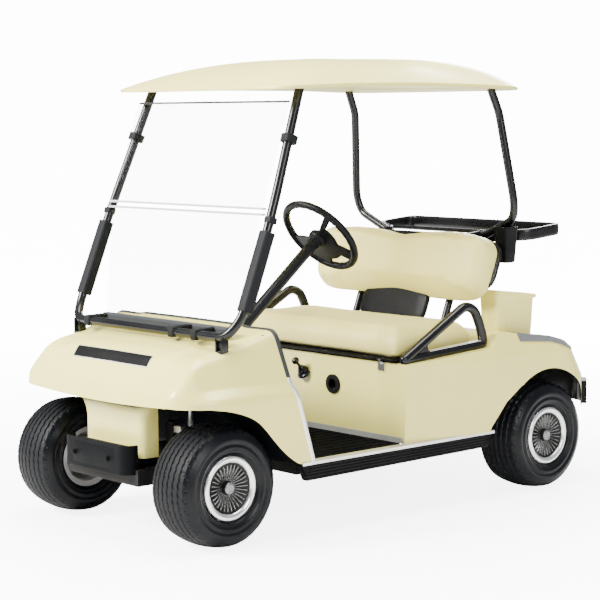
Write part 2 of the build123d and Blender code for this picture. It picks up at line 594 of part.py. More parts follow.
# ---- seat bottom: a cushion on a pan, hinged at its front edge ----
hinge_pin_radius = 3
PAN_BOTTOM = CUSHION_BOTTOM_Z - PAN_THICKNESS
cushion = block((-CUSHION_HALF_WIDTH, CUSHION_HALF_WIDTH), (CUSHION_FRONT_Y, CUSHION_REAR_Y), (CUSHION_BOTTOM_Z, CUSHION_TOP_Z))
cushion = fillet(cushion.edges().group_by(Axis.Z)[-1], 38)
nodes["seat_cushion"] = cushion
pan = block((-490, 490), (CUSHION_FRONT_Y + 6, CUSHION_REAR_Y - 8), (PAN_BOTTOM, CUSHION_BOTTOM_Z))
for hinge_x in (-416, 416):
    pan -= block((hinge_x - 24, hinge_x + 24), (CUSHION_FRONT_Y, SEAT_HINGE_Y + 14), (PAN_BOTTOM - 5, CUSHION_BOTTOM_Z + 5))
    for leaf_x in (hinge_x - 19, hinge_x + 7):
        leaf = disc_x((leaf_x, leaf_x + 12), (SEAT_HINGE_Y, SEAT_HINGE_Z), 6)
        leaf += block((leaf_x, leaf_x + 12), (SEAT_HINGE_Y, SEAT_HINGE_Y + 14), (SEAT_HINGE_Z, CUSHION_BOTTOM_Z))
        pan += leaf - disc_x((leaf_x, leaf_x + 12), (SEAT_HINGE_Y, SEAT_HINGE_Z), hinge_pin_radius + 0.4)
FOOT_GAP = 0.3
for foot_x in (-484, 484):
    for foot_y in (80, 380):
        foot_height = PAN_BOTTOM - LEDGE_TOP - FOOT_GAP
        pan += Pos(foot_x, foot_y, PAN_BOTTOM - foot_height / 2) * Cylinder(5, foot_height)
nodes["seat_pan"] = pan
hinges = []
for hinge_x in (-416, 416):
    hinge = block((hinge_x - 18, hinge_x + 18), (SEAT_FRONT_Y - 6, SEAT_FRONT_Y), (556, 588))
    hinge += block((hinge_x - 5, hinge_x + 5), (SEAT_HINGE_Y - 3, SEAT_FRONT_Y), (584, 602))
    hinge += disc_x((hinge_x - 20, hinge_x + 20), (SEAT_HINGE_Y, SEAT_HINGE_Z), hinge_pin_radius)
    hinges.append(hinge)
nodes["seat_hinges"] = Compound(children=hinges)

# ---- hip restraints: a padded triangle on each side of the seat ----
REST_INNER_X = 508
REST_OUTER_X = 532
rest_outline = [(-46, 586), (438, 614), (425, 690), (372, 800), (322, 806)]
rest_path = FilletPolyline(*rest_outline, radius=[4, 14, 60, 42, 26], close=True)
rest_face = make_face(rest_path)
hole_outline = [(92, 634), (392, 652), (388, 682), (345, 768), (322, 772)]
hole_face = make_face(FilletPolyline(*hole_outline, radius=[8, 8, 40, 14, 14], close=True))
rest = side_solid(rest_face, (REST_INNER_X, REST_OUTER_X)) - side_solid(hole_face, (REST_INNER_X - 1, REST_OUTER_X + 1))
rest -= body_outer
nodes["hip_restraints"] = Compound(children=both_sides(rest.solids().sort_by(SortBy.VOLUME)[-1]))

# ---- seat back: posts that lean back, a shell on brackets and the cushion before it ----
POST_FOOT_Y = 463
POST_LEAN = 21.4
POST_LENGTH = 350
lean = Pos(0, POST_FOOT_Y, 683) * Rot(X=-POST_LEAN)
SHELL_BACK = -TUBE_RADIUS - 6
SHELL_FRONT = SHELL_BACK - 8
BACK_LOW = 126
BACK_HIGH = 402
back_front = FilletPolyline((-505, BACK_LOW), (505, BACK_LOW), (505, 372), (286, BACK_HIGH), (0, 384), (-286, BACK_HIGH),
                            (-505, 372), radius=[70, 70, 78, 260, 300, 260, 78], close=True)
back_face = make_face(back_front)
lean_front = Plane(origin=(0, 40, 0), x_dir=(1, 0, 0), z_dir=(0, -1, 0))
back_block = extrude(lean_front * back_face, amount=240, dir=(0, -1, 0))
cushion_side = make_face(FilletPolyline((SHELL_FRONT, BACK_LOW), (-68, BACK_LOW), (-122, 372), (-96, BACK_HIGH + 4),
                                        (SHELL_FRONT, BACK_HIGH + 4), radius=[0, 34, 50, 30, 0], close=True))
back_cushion = back_block & side_solid(cushion_side, (-560, 560))
nodes["backrest_cushion"] = lean * back_cushion
shell_plate = extrude(Plane(origin=(0, SHELL_BACK, 0), x_dir=(1, 0, 0), z_dir=(0, -1, 0)) * back_face, amount=8, dir=(0, -1, 0))
posts = []
for side in (1, -1):
    post = rod((side * POST_X, 0, -30), (side * POST_X, 0, POST_LENGTH), TUBE_RADIUS)
    for bracket_z in (170, 320):
        post += block((side * POST_X - 22, side * POST_X + 22), (SHELL_BACK, 0), (bracket_z, bracket_z + 40))
    posts.append(lean * post)
deck_cut = block((-600, 600), (300, 600), (500, DECK_Z))
nodes["seat_posts"] = Compound(children=[post - deck_cut for post in posts])
panel = block((-200, 200), (SHELL_FRONT, SHELL_FRONT + 16), (6, BACK_LOW))
for rib_x in range(-160, 161, 40):
    panel += block((rib_x - 4, rib_x + 4), (SHELL_FRONT - 6, SHELL_FRONT), (14, BACK_LOW - 12))
for lug_x in (-180, 180):
    panel += block((lug_x - 12, lug_x + 12), (SHELL_FRONT, SHELL_FRONT + 16), (-20, 10))
panel &= block((-600, 600), (-100, 100), (-12, 200))
nodes["backrest_shell"] = lean * (shell_plate + panel) - deck_cut

# ---- bag rack: a flat band behind the seat, and what hangs on it ----
RACK_Z = 1034
RACK_RISE = 5
RACK_HEIGHT = 46
rack_line = FilletPolyline((POST_X, 612), (POST_X, 700), (440, 800), (440, 992), (-440, 992), (-440, 800),
                           (-POST_X, 700), (-POST_X, 612), radius=[50, 50, 60, 60, 50, 50])
rack_face = make_face(offset(rack_line, amount=10, side=Side.BOTH))
rack = extrude(Pos(0, 0, -RACK_HEIGHT / 2) * rack_face, amount=RACK_HEIGHT, dir=(0, 0, 1))
rack = Pos(0, 600, RACK_Z) * Rot(X=RACK_RISE) * Pos(0, -600, 0) * rack
for post in posts:
    rack -= post
nodes["bag_rack"] = rack

caddy_rows = [(940, 32, 32), (1004, 38, 38), (1086, 44, 44)]
CADDY_X = 430
CADDY_Y = 662
caddy_faces = [Plane.XY.offset(level) * Rectangle(2 * half_x, 2 * half_y) for level, half_x, half_y in caddy_rows]
caddy = Pos(CADDY_X, CADDY_Y, 0) * loft(caddy_faces, ruled=True)
caddy_hollow = [Plane.XY.offset(level) * Rectangle(2 * half_x - 8, 2 * half_y - 8)
                for level, half_x, half_y in ((950, 33, 33), (1086, 44, 44))]
caddy -= Pos(CADDY_X, CADDY_Y, 0) * loft(caddy_hollow, ruled=True)
caddy += block((POST_X + 10, CADDY_X - 34), (CADDY_Y - 10, CADDY_Y + 10), (1000, 1020))
nodes["caddy_box"] = (caddy - rack).solids().sort_by(SortBy.VOLUME)[-1]

# ---- tub: the open bin on the left of the deck, with a flanged rim ----
TUB_X = (388, 512)
TUB_Y = (534, 768)
TUB_WALL = 4
TUB_TOP_Z = 822
tub = block(TUB_X, TUB_Y, (600, TUB_TOP_Z))
tub += block((TUB_X[0] - 8, TUB_X[1] + 8), (TUB_Y[0] - 8, TUB_Y[1] + 10), (TUB_TOP_Z - 8, TUB_TOP_Z))
tub -= block((TUB_X[0] + TUB_WALL, TUB_X[1] - TUB_WALL), (TUB_Y[0] + TUB_WALL, TUB_Y[1] - TUB_WALL), (DECK_Z + 2, TUB_TOP_Z + 1))
tub -= side_prism(body_side, (-620, 620))
nodes["tub"] = tub.solids().sort_by(SortBy.VOLUME)[-1]

# ---- rack knob on its stem, on the left post ----
KNOB = (350, 658, 901)
knob = Pos(*KNOB) * Cylinder(19, 30) + rod(KNOB, (POST_X, 549, KNOB[2]), 6)
for post in posts:
    knob -= post
nodes["rack_knob"] = knob.solids().sort_by(SortBy.VOLUME)[-1]

# ---- fender trims and the rear bumper ----
fender_band = side_prism([(590, 632), (773, 616), (925, 572), (1000, 556), (1000, 590), (930, 600), (773, 646), (585, 668)],
                         (-640, 640))
grown_top = [(y, z + TRIM) for y, z in body_top]
grown_body = body_volume(-TRIM) & side_prism([(SEAT_FRONT_Y, FLOOR_TOP), (SEAT_FRONT_Y, SEAT_LEDGE_Z)] + grown_top +
                                             [(1160, 540), (1160, 318)], (-620, 620))
trim = (grown_body & fender_band) - body_outer - block((-514, 514), (500, 1100), (400, 700))
trim -= side_prism([(500, 560), (500, 600), (1100, 500), (1100, 440)], (-620, 620))
nodes["fender_trims"] = Compound(children=trim.solids().sort_by(SortBy.VOLUME)[-2:])
rear_strip = [(-548, 1052), (-472, REAR_BUMPER_Y), (472, REAR_BUMPER_Y), (548, 1052), (500, 1020), (-500, 1020)]
rear_bumper = plan_prism(rear_strip, (322, 418)) - body_outer - body_inner
nodes["rear_bumper"] = rear_bumper.solids().sort_by(SortBy.VOLUME)[-1]

# ---- canopy: a crowned shell with a deep rim, closed below by its liner ----
ROOF_ROWS = [  # level, front, rear, half width, corner radius
    (ROOF_RIM_Z, ROOF_FRONT_Y, ROOF_REAR_Y, ROOF_HALF_WIDTH, 90),
    (ROOF_RIM_Z + ROOF_RIM_HEIGHT, ROOF_FRONT_Y, ROOF_REAR_Y, ROOF_HALF_WIDTH, 90),
    (1712, -560, 610, 528, 85),
    (1740, -475, 430, 506, 80),
    (1764, -340, 340, 440, 70),
    (1780, -150, 220, 300, 60),
]


def roof_volume(inset):
    """The crowned form of the canopy, or of its hollow when inset."""
    faces = []
    for index, (level, front, rear, half, radius) in enumerate(ROOF_ROWS):
        sheet = make_face(FilletPolyline((-half + inset, front + inset), (half - inset, front + inset),
                                         (half - inset, rear - inset), (-half + inset, rear - inset),
                                         radius=radius - inset, close=True))
        faces.append(Plane.XY.offset(level - (inset if index else 0)) * sheet)
    return loft(faces, ruled=True)


roof_inner = roof_volume(WALL)
nodes["roof"] = roof_volume(0) - roof_inner
liner_range = (LINER_Z, LINER_Z + LINER_THICKNESS)
nodes["roof_liner"] = block((-600, 600), (-700, 700), liner_range) & roof_inner

# ---- rear struts: from the rack's feet, out and up to the canopy ----
struts = []
for side in (1, -1):
    strut = tube([(side * POST_X, 690, 1034), (side * 470, 676, 1161), (side * 432, 628, 1552), (side * 424, 575, LINER_Z)],
                 TUBE_RADIUS, [70, 90])
    strut += Pos(side * 424, 575, LINER_Z - 3) * Cylinder(26, 6)
    cleared = strut - rack - nodes["caddy_box"] - block((-600, 600), (400, 800), liner_range)
    struts.append(cleared.solids().sort_by(SortBy.VOLUME)[-1])
nodes["rear_struts"] = Compound(children=struts)

# ---- windshield: one bent tube, its sleeves and clamps, and two panes ----
FOOT_Y = -865
FOOT_Z = 740
SHIELD_LOW = (501, -826, 800)
SHIELD_KNEE = (497, -679, 1165)
SHIELD_TOP = (447, -485, LINER_Z)
left_run = [SHIELD_TOP, SHIELD_KNEE, SHIELD_LOW, (SHIELD_X, FOOT_Y, FOOT_Z)]
right_run = [(-x, y, z) for x, y, z in reversed(left_run)]
shield = tube(left_run + right_run, TUBE_RADIUS, [300, 60, 50, 50, 60, 300])
for side in (1, -1):
    shield += Pos(side * SHIELD_TOP[0], SHIELD_TOP[1], LINER_Z - 3) * Cylinder(26, 6)
    foot = block((side * 440 - 16, side * 440 + 16), (FOOT_Y - 20, FOOT_Y + 20), (700, FOOT_Z))
    shield += foot
shield = shield - cowl_outer - block((-600, 600), (-700, -300), liner_range)
shield = shield.solids().sort_by(SortBy.VOLUME)[-1]
nodes["windshield_frame"] = shield
sleeves = []
clamps = []
for side in (1, -1):
    low = Vector(side * 500, -812, 835)
    knee = Vector(side * SHIELD_KNEE[0], SHIELD_KNEE[1], SHIELD_KNEE[2])
    top = Vector(side * SHIELD_TOP[0], SHIELD_TOP[1], SHIELD_TOP[2])
    sleeve = rod(low + (knee - low) * 0.1, low + (knee - low) * 0.86, TUBE_RADIUS + 7) - shield
    sleeves.append(sleeve.solids().sort_by(SortBy.VOLUME)[-1])
    clamp = rod(knee + (top - knee) * 0.62, knee + (top - knee) * 0.72, TUBE_RADIUS + 6)
    clamp += Pos(knee + (top - knee) * 0.67) * block((-10, 10), (-38, 0), (-14, 14))
    clamps.append(clamp - shield)
PANE = 5


def pane_sheet(low_y, low_z, high_y, high_z, low_half, high_half, thickness, shift):
    """A flat four-sided sheet that leans back between two level edges."""
    rise = Vector(0, high_y - low_y, high_z - low_z)
    length = rise.length
    plane = Plane(origin=(0, low_y, low_z), x_dir=(1, 0, 0), z_dir=Vector(0, -rise.Z, rise.Y))
    outline = [(-low_half, 0), (low_half, 0), (high_half, length), (-high_half, length)]
    face = plane.offset(shift) * make_face(Polyline(*outline, close=True))
    return extrude(face, amount=thickness, dir=plane.z_dir)


lower_pane = pane_sheet(-770, 752, -686, 1200, 392, 459, PANE, 0) - cowl_outer
upper_pane = pane_sheet(-682, 1214, -545, 1606, 459, 461, PANE, 0)
seated = [(clamp - upper_pane).solids().sort_by(SortBy.VOLUME)[-1] for clamp in clamps]
nodes["shield_fittings"] = Compound(children=sleeves + seated)
nodes["panes"] = Compound(children=[lower_pane, upper_pane])
strip_front = pane_sheet(-686.5, 1196, -681, 1218, 478, 478, 4, PANE)
middle_strip = strip_front - lower_pane - upper_pane
sill_strip = block((-392, 392), (-796, -762), (735, 762)) - cowl_outer - lower_pane
nodes["pane_strips"] = Compound(children=[middle_strip, sill_strip])

for name, solid in nodes.items():
    export_step(solid, f"parts/{name}.step")
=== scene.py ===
import bmesh
import bpy
import json
import math
import numpy as np
from mathutils import Matrix, Vector


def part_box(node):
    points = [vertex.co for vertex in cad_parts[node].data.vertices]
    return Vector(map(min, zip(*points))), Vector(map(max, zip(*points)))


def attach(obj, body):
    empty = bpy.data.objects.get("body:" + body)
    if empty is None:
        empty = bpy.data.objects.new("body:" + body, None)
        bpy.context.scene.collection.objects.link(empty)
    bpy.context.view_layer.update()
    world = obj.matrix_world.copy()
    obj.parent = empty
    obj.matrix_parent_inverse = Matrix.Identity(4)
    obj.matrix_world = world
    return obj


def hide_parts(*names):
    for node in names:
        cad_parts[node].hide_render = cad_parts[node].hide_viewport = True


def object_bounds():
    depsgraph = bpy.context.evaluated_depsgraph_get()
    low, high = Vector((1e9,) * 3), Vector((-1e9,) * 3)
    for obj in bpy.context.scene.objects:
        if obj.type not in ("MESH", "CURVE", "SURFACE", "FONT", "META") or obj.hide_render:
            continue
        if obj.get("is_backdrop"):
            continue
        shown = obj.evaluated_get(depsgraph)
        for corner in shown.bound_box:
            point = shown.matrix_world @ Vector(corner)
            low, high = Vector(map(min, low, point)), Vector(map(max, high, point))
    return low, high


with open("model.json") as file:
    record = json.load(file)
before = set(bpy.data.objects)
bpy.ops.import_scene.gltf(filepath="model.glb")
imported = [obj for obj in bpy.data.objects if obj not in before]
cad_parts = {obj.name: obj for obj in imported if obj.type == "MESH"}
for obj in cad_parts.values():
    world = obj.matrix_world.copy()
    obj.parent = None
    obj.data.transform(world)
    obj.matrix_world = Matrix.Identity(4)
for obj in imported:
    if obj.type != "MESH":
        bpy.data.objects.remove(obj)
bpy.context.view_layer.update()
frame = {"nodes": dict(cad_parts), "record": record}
cad_node = frame["nodes"]

# ---------------------------------------------------------------------------
# Studio. A pale sweep of floor, a white surround, one large soft key light
# ahead of the cart and to its right, and a weaker fill on its left side.
# ---------------------------------------------------------------------------


def add_node(tree, kind, inputs=None, **settings):
    """Adds a shader node, sets its properties, and sets or links its inputs."""
    made = tree.nodes.new(kind)
    for name, value in settings.items():
        setattr(made, name, value)
    for name, value in (inputs or {}).items():
        if isinstance(value, bpy.types.NodeSocket):
            tree.links.new(value, made.inputs[name])
        else:
            made.inputs[name].default_value = value
    return made


def new_material(name):
    """A material with an empty node tree, and the object coordinates in it."""
    made = bpy.data.materials.new(name)
    made.use_nodes = True
    made.node_tree.nodes.clear()
    return made, made.node_tree, add_node(made.node_tree, "ShaderNodeTexCoord")


def principled(tree, inputs):
    """The material's one shader, joined to its output."""
    shader = add_node(tree, "ShaderNodeBsdfPrincipled", inputs)
    add_node(tree, "ShaderNodeOutputMaterial", {"Surface": shader.outputs[0]})


def set_ramp(ramp_node, stops):
    """Gives a colour ramp its stops as (place, value) pairs, where value is a grey or a colour."""
    ramp = ramp_node.color_ramp
    while len(ramp.elements) < len(stops):
        ramp.elements.new(0.5)
    for element, (place, value) in zip(ramp.elements, stops):
        element.position = place
        element.color = (value, value, value, 1) if isinstance(value, (int, float)) else (*value, 1)


def mapped(tree, value, low, high, to_low=0.0, to_high=1.0):
    """A value whose range from low to high is stretched to another range and held inside it."""
    return add_node(tree, "ShaderNodeMapRange", {
        "Value": value, "From Min": low, "From Max": high, "To Min": to_low, "To Max": to_high}).outputs[0]


def worked(tree, operation, *values):
    """The result of one operation on sockets or numbers."""
    return add_node(tree, "ShaderNodeMath", dict(enumerate(values)), operation=operation).outputs[0]


def noise(tree, where, scale, detail, roughness=0.5, distortion=0.0):
    """The grey value of a cloud pattern over the object's own coordinates."""
    return add_node(tree, "ShaderNodeTexNoise", {
        "Vector": where.outputs["Object"], "Scale": scale, "Detail": detail, "Roughness": roughness,
        "Distortion": distortion}).outputs[0]


CAMERA_PLACE = Vector((5.613, -5.074, 1.562))
CAMERA_ANGLES = (48.422, 5.7345, -0.359)  # yaw, pitch and roll, in degrees
CAMERA_LENS = 111.49
SENSOR_WIDTH = 36

yaw, pitch, roll = (math.radians(angle) for angle in CAMERA_ANGLES)
look = Vector((-math.sin(yaw) * math.cos(pitch), math.cos(yaw) * math.cos(pitch), -math.sin(pitch)))
level_right = Vector((math.cos(yaw), math.sin(yaw), 0))
level_up = level_right.cross(look)
right = math.cos(roll) * level_right + math.sin(roll) * level_up
up = math.cos(roll) * level_up - math.sin(roll) * level_right
camera_data = bpy.data.cameras.new("camera")
camera_data.lens = CAMERA_LENS
camera_data.sensor_width = SENSOR_WIDTH
camera_data.clip_end = 300
camera = bpy.data.objects.new("camera", camera_data)
camera.matrix_world = Matrix((right, up, -look)).transposed().to_4x4()
camera.location = CAMERA_PLACE
bpy.context.scene.collection.objects.link(camera)
bpy.context.scene.camera = camera

STUDIO_LIGHTS = [
    # name, place, aimed at, size, watts, colour
    ("key", (-2.4, -6.2, 4.8), (0, -0.3, 0.6), 3.0, 2250, (1.0, 0.985, 0.95)),
    ("fill", (6.8, -1.5, 3.2), (0, 0, 0.6), 3.0, 330, (0.98, 0.99, 1.0)),
    ("top", (0.3, 0.2, 5.4), (0, 0, 0.8), 4.0, 800, (1.0, 1.0, 1.0)),
    ("back", (-2.5, 5.5, 3.2), (0, 0.3, 0.9), 3.0, 420, (1.0, 0.99, 0.97)),
]
for name, place, target, size, watts, colour in STUDIO_LIGHTS:
    light_data = bpy.data.lights.new(name, "AREA")
    light_data.shape = "DISK"
    light_data.size = size
    light_data.energy = watts
    light_data.color = colour
    light = bpy.data.objects.new(name, light_data)
    light.location = place
    light.rotation_euler = (Vector(target) - Vector(place)).to_track_quat("-Z", "Y").to_euler()
    bpy.context.scene.collection.objects.link(light)

BACKDROP = 14.0
surround = bpy.data.worlds.new("surround")
surround.use_nodes = True
surround.node_tree.nodes.clear()
seen_by_camera = add_node(surround.node_tree, "ShaderNodeLightPath")
backdrop = add_node(surround.node_tree, "ShaderNodeBackground", {"Color": (1, 1, 1, 1), "Strength": BACKDROP})
ambient = add_node(surround.node_tree, "ShaderNodeBackground", {"Color": (0.95, 0.97, 1, 1), "Strength": 0.5})
both = add_node(surround.node_tree, "ShaderNodeMixShader", {
    0: seen_by_camera.outputs["Is Camera Ray"], 1: ambient.outputs[0], 2: backdrop.outputs[0]})
add_node(surround.node_tree, "ShaderNodeOutputWorld", {"Surface": both.outputs[0]})
bpy.context.scene.world = surround

FLOOR_REACH, FLOOR_LEVEL = 45.0, -0.0005
floor_mesh = bpy.data.meshes.new("floor")
floor_mesh.from_pydata([(FLOOR_REACH * x, FLOOR_REACH * y, FLOOR_LEVEL) for x, y in (
    (-1, -1), (1, -1), (1, 1), (-1, 1))], [], [(0, 1, 2, 3)])
floor = bpy.data.objects.new("floor", floor_mesh)
bpy.context.scene.collection.objects.link(floor)
floor_paint, tree, where = new_material("floor_paint")
away = add_node(tree, "ShaderNodeVectorMath", {0: where.outputs["Object"]}, operation="LENGTH")
glow = mapped(tree, away.outputs["Value"], 1.2, 6.0, 5.5, BACKDROP)
seen = add_node(tree, "ShaderNodeLightPath")
principled(tree, {
    "Base Color": (0.86, 0.86, 0.855, 1), "Roughness": mapped(tree, noise(tree, where, 1.3, 5.0), 0, 1, 0.55, 0.72),
    "Specular IOR Level": 0.2, "Emission Color": (1, 1, 1, 1),
    "Emission Strength": worked(tree, "MULTIPLY", glow, seen.outputs["Is Camera Ray"])})
floor_mesh.materials.append(floor_paint)
floor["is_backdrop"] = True

# ---------------------------------------------------------------------------
# Moulded body: cowl, rear body, canopy and bin, in thick coloured plastic with
# a gloss skin. Each is moulded in one and bolted to the frame from inside.
# ---------------------------------------------------------------------------


def build_group(name, inputs, outputs):
    """A node group with its sockets made: inputs and outputs are (name, kind, value) rows."""
    group = bpy.data.node_groups.new(name, "ShaderNodeTree")
    for socket, kind, value in inputs:
        made = group.interface.new_socket(socket, in_out="INPUT", socket_type=kind)
        if value is not None:
            made.default_value = value
    for socket, kind, _ in outputs:
        group.interface.new_socket(socket, in_out="OUTPUT", socket_type=kind)
    return group, group.nodes.new("NodeGroupInput"), group.nodes.new("NodeGroupOutput")


FLOAT, VECTOR = "NodeSocketFloat", "NodeSocketVector"

# Road dust: a mask that is full at the ground and fades out upwards, broken up by noise.
dust_group, dust_in, dust_out = build_group(
    "road_dust", [("Top", FLOAT, 0.6), ("Scale", FLOAT, 9.0)], [("Mask", FLOAT, None)])
where = add_node(dust_group, "ShaderNodeTexCoord")
above_ground = add_node(dust_group, "ShaderNodeSeparateXYZ", {0: where.outputs["Object"]}).outputs["Z"]
fade = mapped(dust_group, above_ground, 0.0, dust_in.outputs["Top"], 1.0, 0.0)
patches = mapped(dust_group, noise(dust_group, where, dust_in.outputs["Scale"], 7.0, 0.65), 0.38, 0.68)
dust_group.links.new(worked(dust_group, "MULTIPLY", fade, patches), dust_out.inputs[0])

# Skin: a fine noise bump that stands for orange peel, casting grain or mould texture, over slow waves.
skin_group, skin_in, skin_out = build_group(
    "moulded_skin", [("Scale", FLOAT, 300.0), ("Height", FLOAT, 0.0002), ("Waves", FLOAT, 0.001)],
    [("Normal", VECTOR, None)])
where = add_node(skin_group, "ShaderNodeTexCoord")
wave_bump = add_node(skin_group, "ShaderNodeBump", {
    "Height": noise(skin_group, where, 7.0, 1.0), "Distance": skin_in.outputs["Waves"]})
skin_bump = add_node(skin_group, "ShaderNodeBump", {
    "Height": noise(skin_group, where, skin_in.outputs["Scale"], 4.0), "Distance": skin_in.outputs["Height"],
    "Normal": wave_bump.outputs[0]})
skin_group.links.new(skin_bump.outputs[0], skin_out.inputs[0])
DUST = (0.30, 0.26, 0.20, 1)


def use_group(tree, group, inputs=None):
    """Adds a shared node group to a material."""
    made = tree.nodes.new("ShaderNodeGroup")
    made.node_tree = group
    for name, value in (inputs or {}).items():
        made.inputs[name].default_value = value
    return made


def moulded(name, colour, rough, coat, grain, dust_top=0.7, dust_share=0.0, waves=0.0006,
            metallic=0.0, spread=0.05, mottle=3.0, specular=0.5):
    """A finish of one main colour with faint clouding, a skin bump and dust towards the ground.

    rough is (lowest, highest) roughness over the clouding; grain is (scale, height) of the skin.
    """
    made, tree, where = new_material(name)
    cloud = noise(tree, where, mottle, 6.0, 0.6)
    tint = add_node(tree, "ShaderNodeValToRGB", {0: cloud})
    set_ramp(tint, [(place, tuple(min(1.0, part * (1 + change)) for part in colour))
                    for place, change in ((0.3, -spread), (0.7, spread))])
    dust = worked(tree, "MULTIPLY", use_group(tree, dust_group, {"Top": dust_top}).outputs[0], dust_share)
    base = add_node(tree, "ShaderNodeMix", {"Factor": dust, 6: tint.outputs[0], 7: DUST}, data_type="RGBA")
    skin = use_group(tree, skin_group, {"Scale": grain[0], "Height": grain[1], "Waves": waves})
    principled(tree, {
        "Base Color": base.outputs[2], "Metallic": metallic, "Normal": skin.outputs[0],
        "Roughness": worked(tree, "MULTIPLY_ADD", dust, 0.4, mapped(tree, cloud, 0.3, 0.7, *rough)),
        "Coat Weight": coat, "Coat Roughness": 0.12, "Specular IOR Level": specular})
    return made


def paint_hidden_shade(material, top=0.64):
    """Paints near-black shade on the hidden side of a moulding below a level.

    Hidden is what faces down, in towards the cart's middle or, round the rear wheels, ahead.
    """
    tree = material.node_tree
    shader = next(node for node in tree.nodes if node.type == "BSDF_PRINCIPLED")
    where = add_node(tree, "ShaderNodeTexCoord")
    surface = add_node(tree, "ShaderNodeNewGeometry")
    place = add_node(tree, "ShaderNodeSeparateXYZ", {0: where.outputs["Object"]}).outputs
    facing = add_node(tree, "ShaderNodeSeparateXYZ", {0: surface.outputs["Normal"]}).outputs
    inward = mapped(tree, worked(tree, "MULTIPLY", facing[0], worked(tree, "SIGN", place[0])), -0.15, -0.4)
    hidden = worked(tree, "MAXIMUM", inward, mapped(tree, facing[2], -0.3, -0.6))
    ahead = worked(tree, "MULTIPLY", mapped(tree, place[1], 0.45, 0.47), mapped(tree, facing[1], -0.15, -0.3))
    mask = worked(tree, "MULTIPLY", worked(tree, "MAXIMUM", hidden, ahead),
                  mapped(tree, place[2], top, top + 0.02, 1.0, 0.0))
    # Painted shade: the near-black tones laid on the hidden faces.
    coat = add_node(tree, "ShaderNodeValToRGB", {0: noise(tree, where, 60.0, 5.0)})
    set_ramp(coat, [(0.3, (0.002, 0.002, 0.0022)), (0.7, (0.008, 0.008, 0.008))])
    colour, rough = (shader.inputs[name].links[0].from_socket for name in ("Base Color", "Roughness"))
    mixed = add_node(tree, "ShaderNodeMix", {"Factor": mask, 6: colour, 7: coat.outputs[0]}, data_type="RGBA")
    tree.links.new(mixed.outputs[2], shader.inputs["Base Color"])
    tree.links.new(worked(tree, "MULTIPLY_ADD", mask, 0.5, rough), shader.inputs["Roughness"])


def finish_node(material, *names):
    """Gives CAD nodes one material."""
    for name in names:
        mesh = cad_node[name].data
        mesh.materials.clear()
        mesh.materials.append(material)


IVORY = {"colour": (0.74, 0.665, 0.19), "rough": (0.30, 0.42), "coat": 0.35, "grain": (420, 0.00006),
         "dust_top": 0.45, "dust_share": 0.12, "waves": 0.0002, "spread": 0.03, "specular": 0.4}
body_ivory, arch_ivory = moulded("body_ivory", **IVORY), moulded("arch_ivory", **IVORY)
# The arch ivory gets painted shade, near black, on its hidden faces low down.
paint_hidden_shade(arch_ivory)
black_plastic = moulded("black_plastic", (0.0022, 0.0024, 0.0028), (0.4, 0.55), 0.0, (600, 0.0003),
                        dust_share=0.03, specular=0.12)
dark_paint = moulded("dark_paint", (0.003, 0.0034, 0.004), (0.26, 0.36), 0.05, (500, 0.0001),
                     dust_top=0.3, dust_share=0.05, specular=0.2)
grey_plastic = moulded("grey_plastic", (0.030, 0.032, 0.035), (0.45, 0.6), 0.0, (500, 0.0003),
                       dust_share=0.1, specular=0.2)
bright_metal = moulded("bright_metal", (0.78, 0.78, 0.77), (0.25, 0.4), 0.0, (500, 0.0001),
                       dust_share=0.35, metallic=1.0)
frame_metal = moulded("frame_metal", (0.004, 0.004, 0.0045), (0.5, 0.65), 0.0, (300, 0.0003),
                      dust_top=0.5, dust_share=0.06, specular=0.15)
mat_black = moulded("mat_black", (0.0030, 0.0036, 0.0050), (0.75, 0.9), 0.0, (700, 0.0004), specular=0.02)
trim_grey = moulded("trim_grey", (0.30, 0.30, 0.28), (0.4, 0.5), 0.0, (500, 0.0001), dust_share=0.1)
silver_grey = moulded("silver_grey", (0.16, 0.165, 0.17), (0.35, 0.5), 0.0, (500, 0.0001),
                      dust_share=0.05, metallic=0.3)
clear_sheet, tree, _ = new_material("clear_sheet")
principled(tree, {
    "Base Color": (0.97, 0.98, 0.98, 1), "Roughness": 0.03, "IOR": 1.1, "Transmission Weight": 1.0, "Alpha": 0.12})

SLOT_FINISHES = {
    "black_plastic": black_plastic, "grey_plastic": grey_plastic, "black_paint": dark_paint,
    "bright_metal": bright_metal, "frame_metal": frame_metal, "steel": bright_metal,
    "rubber_black": black_plastic, "light_strip": grey_plastic,
}
for part in frame["record"]["subparts"]:
    if part["material_slot"] in SLOT_FINISHES:
        finish_node(SLOT_FINISHES[part["material_slot"]], part["node"])
finish_node(arch_ivory, "rear_body")
finish_node(mat_black, "floor_mat")
finish_node(trim_grey, "base_trim")
finish_node(silver_grey, "fender_trims")
finish_node(clear_sheet, "panes")

# ---------------------------------------------------------------------------
# Tyres: 18 inch low-pressure turf tyres, moulded rubber over a carcass. Ribs
# round the tread, notched shoulders, and raised rings on the side walls.
# ---------------------------------------------------------------------------


def grid_faces(rows, columns, wrap_rows=False, wrap_columns=False):
    """Four-sided faces of a grid of points numbered row by row; a wrapped way joins its last line to its first."""
    row, column = np.meshgrid(np.arange(rows if wrap_rows else rows - 1),
                              np.arange(columns if wrap_columns else columns - 1), indexing="ij")
    next_row, next_column = (row + 1) % rows, (column + 1) % columns
    return np.stack([row * columns + column, next_row * columns + column,
                     next_row * columns + next_column, row * columns + next_column], -1).reshape(-1, 4)


def enclosed(points, faces):
    """The volume inside closed four-sided faces: the sum of the corner products of their two triangles, over six."""
    a, b, c, d = (points[faces[:, corner]] for corner in range(4))
    return (np.einsum("ij,ij->i", a, np.cross(b, c)) + np.einsum("ij,ij->i", a, np.cross(c, d))).sum() / 6


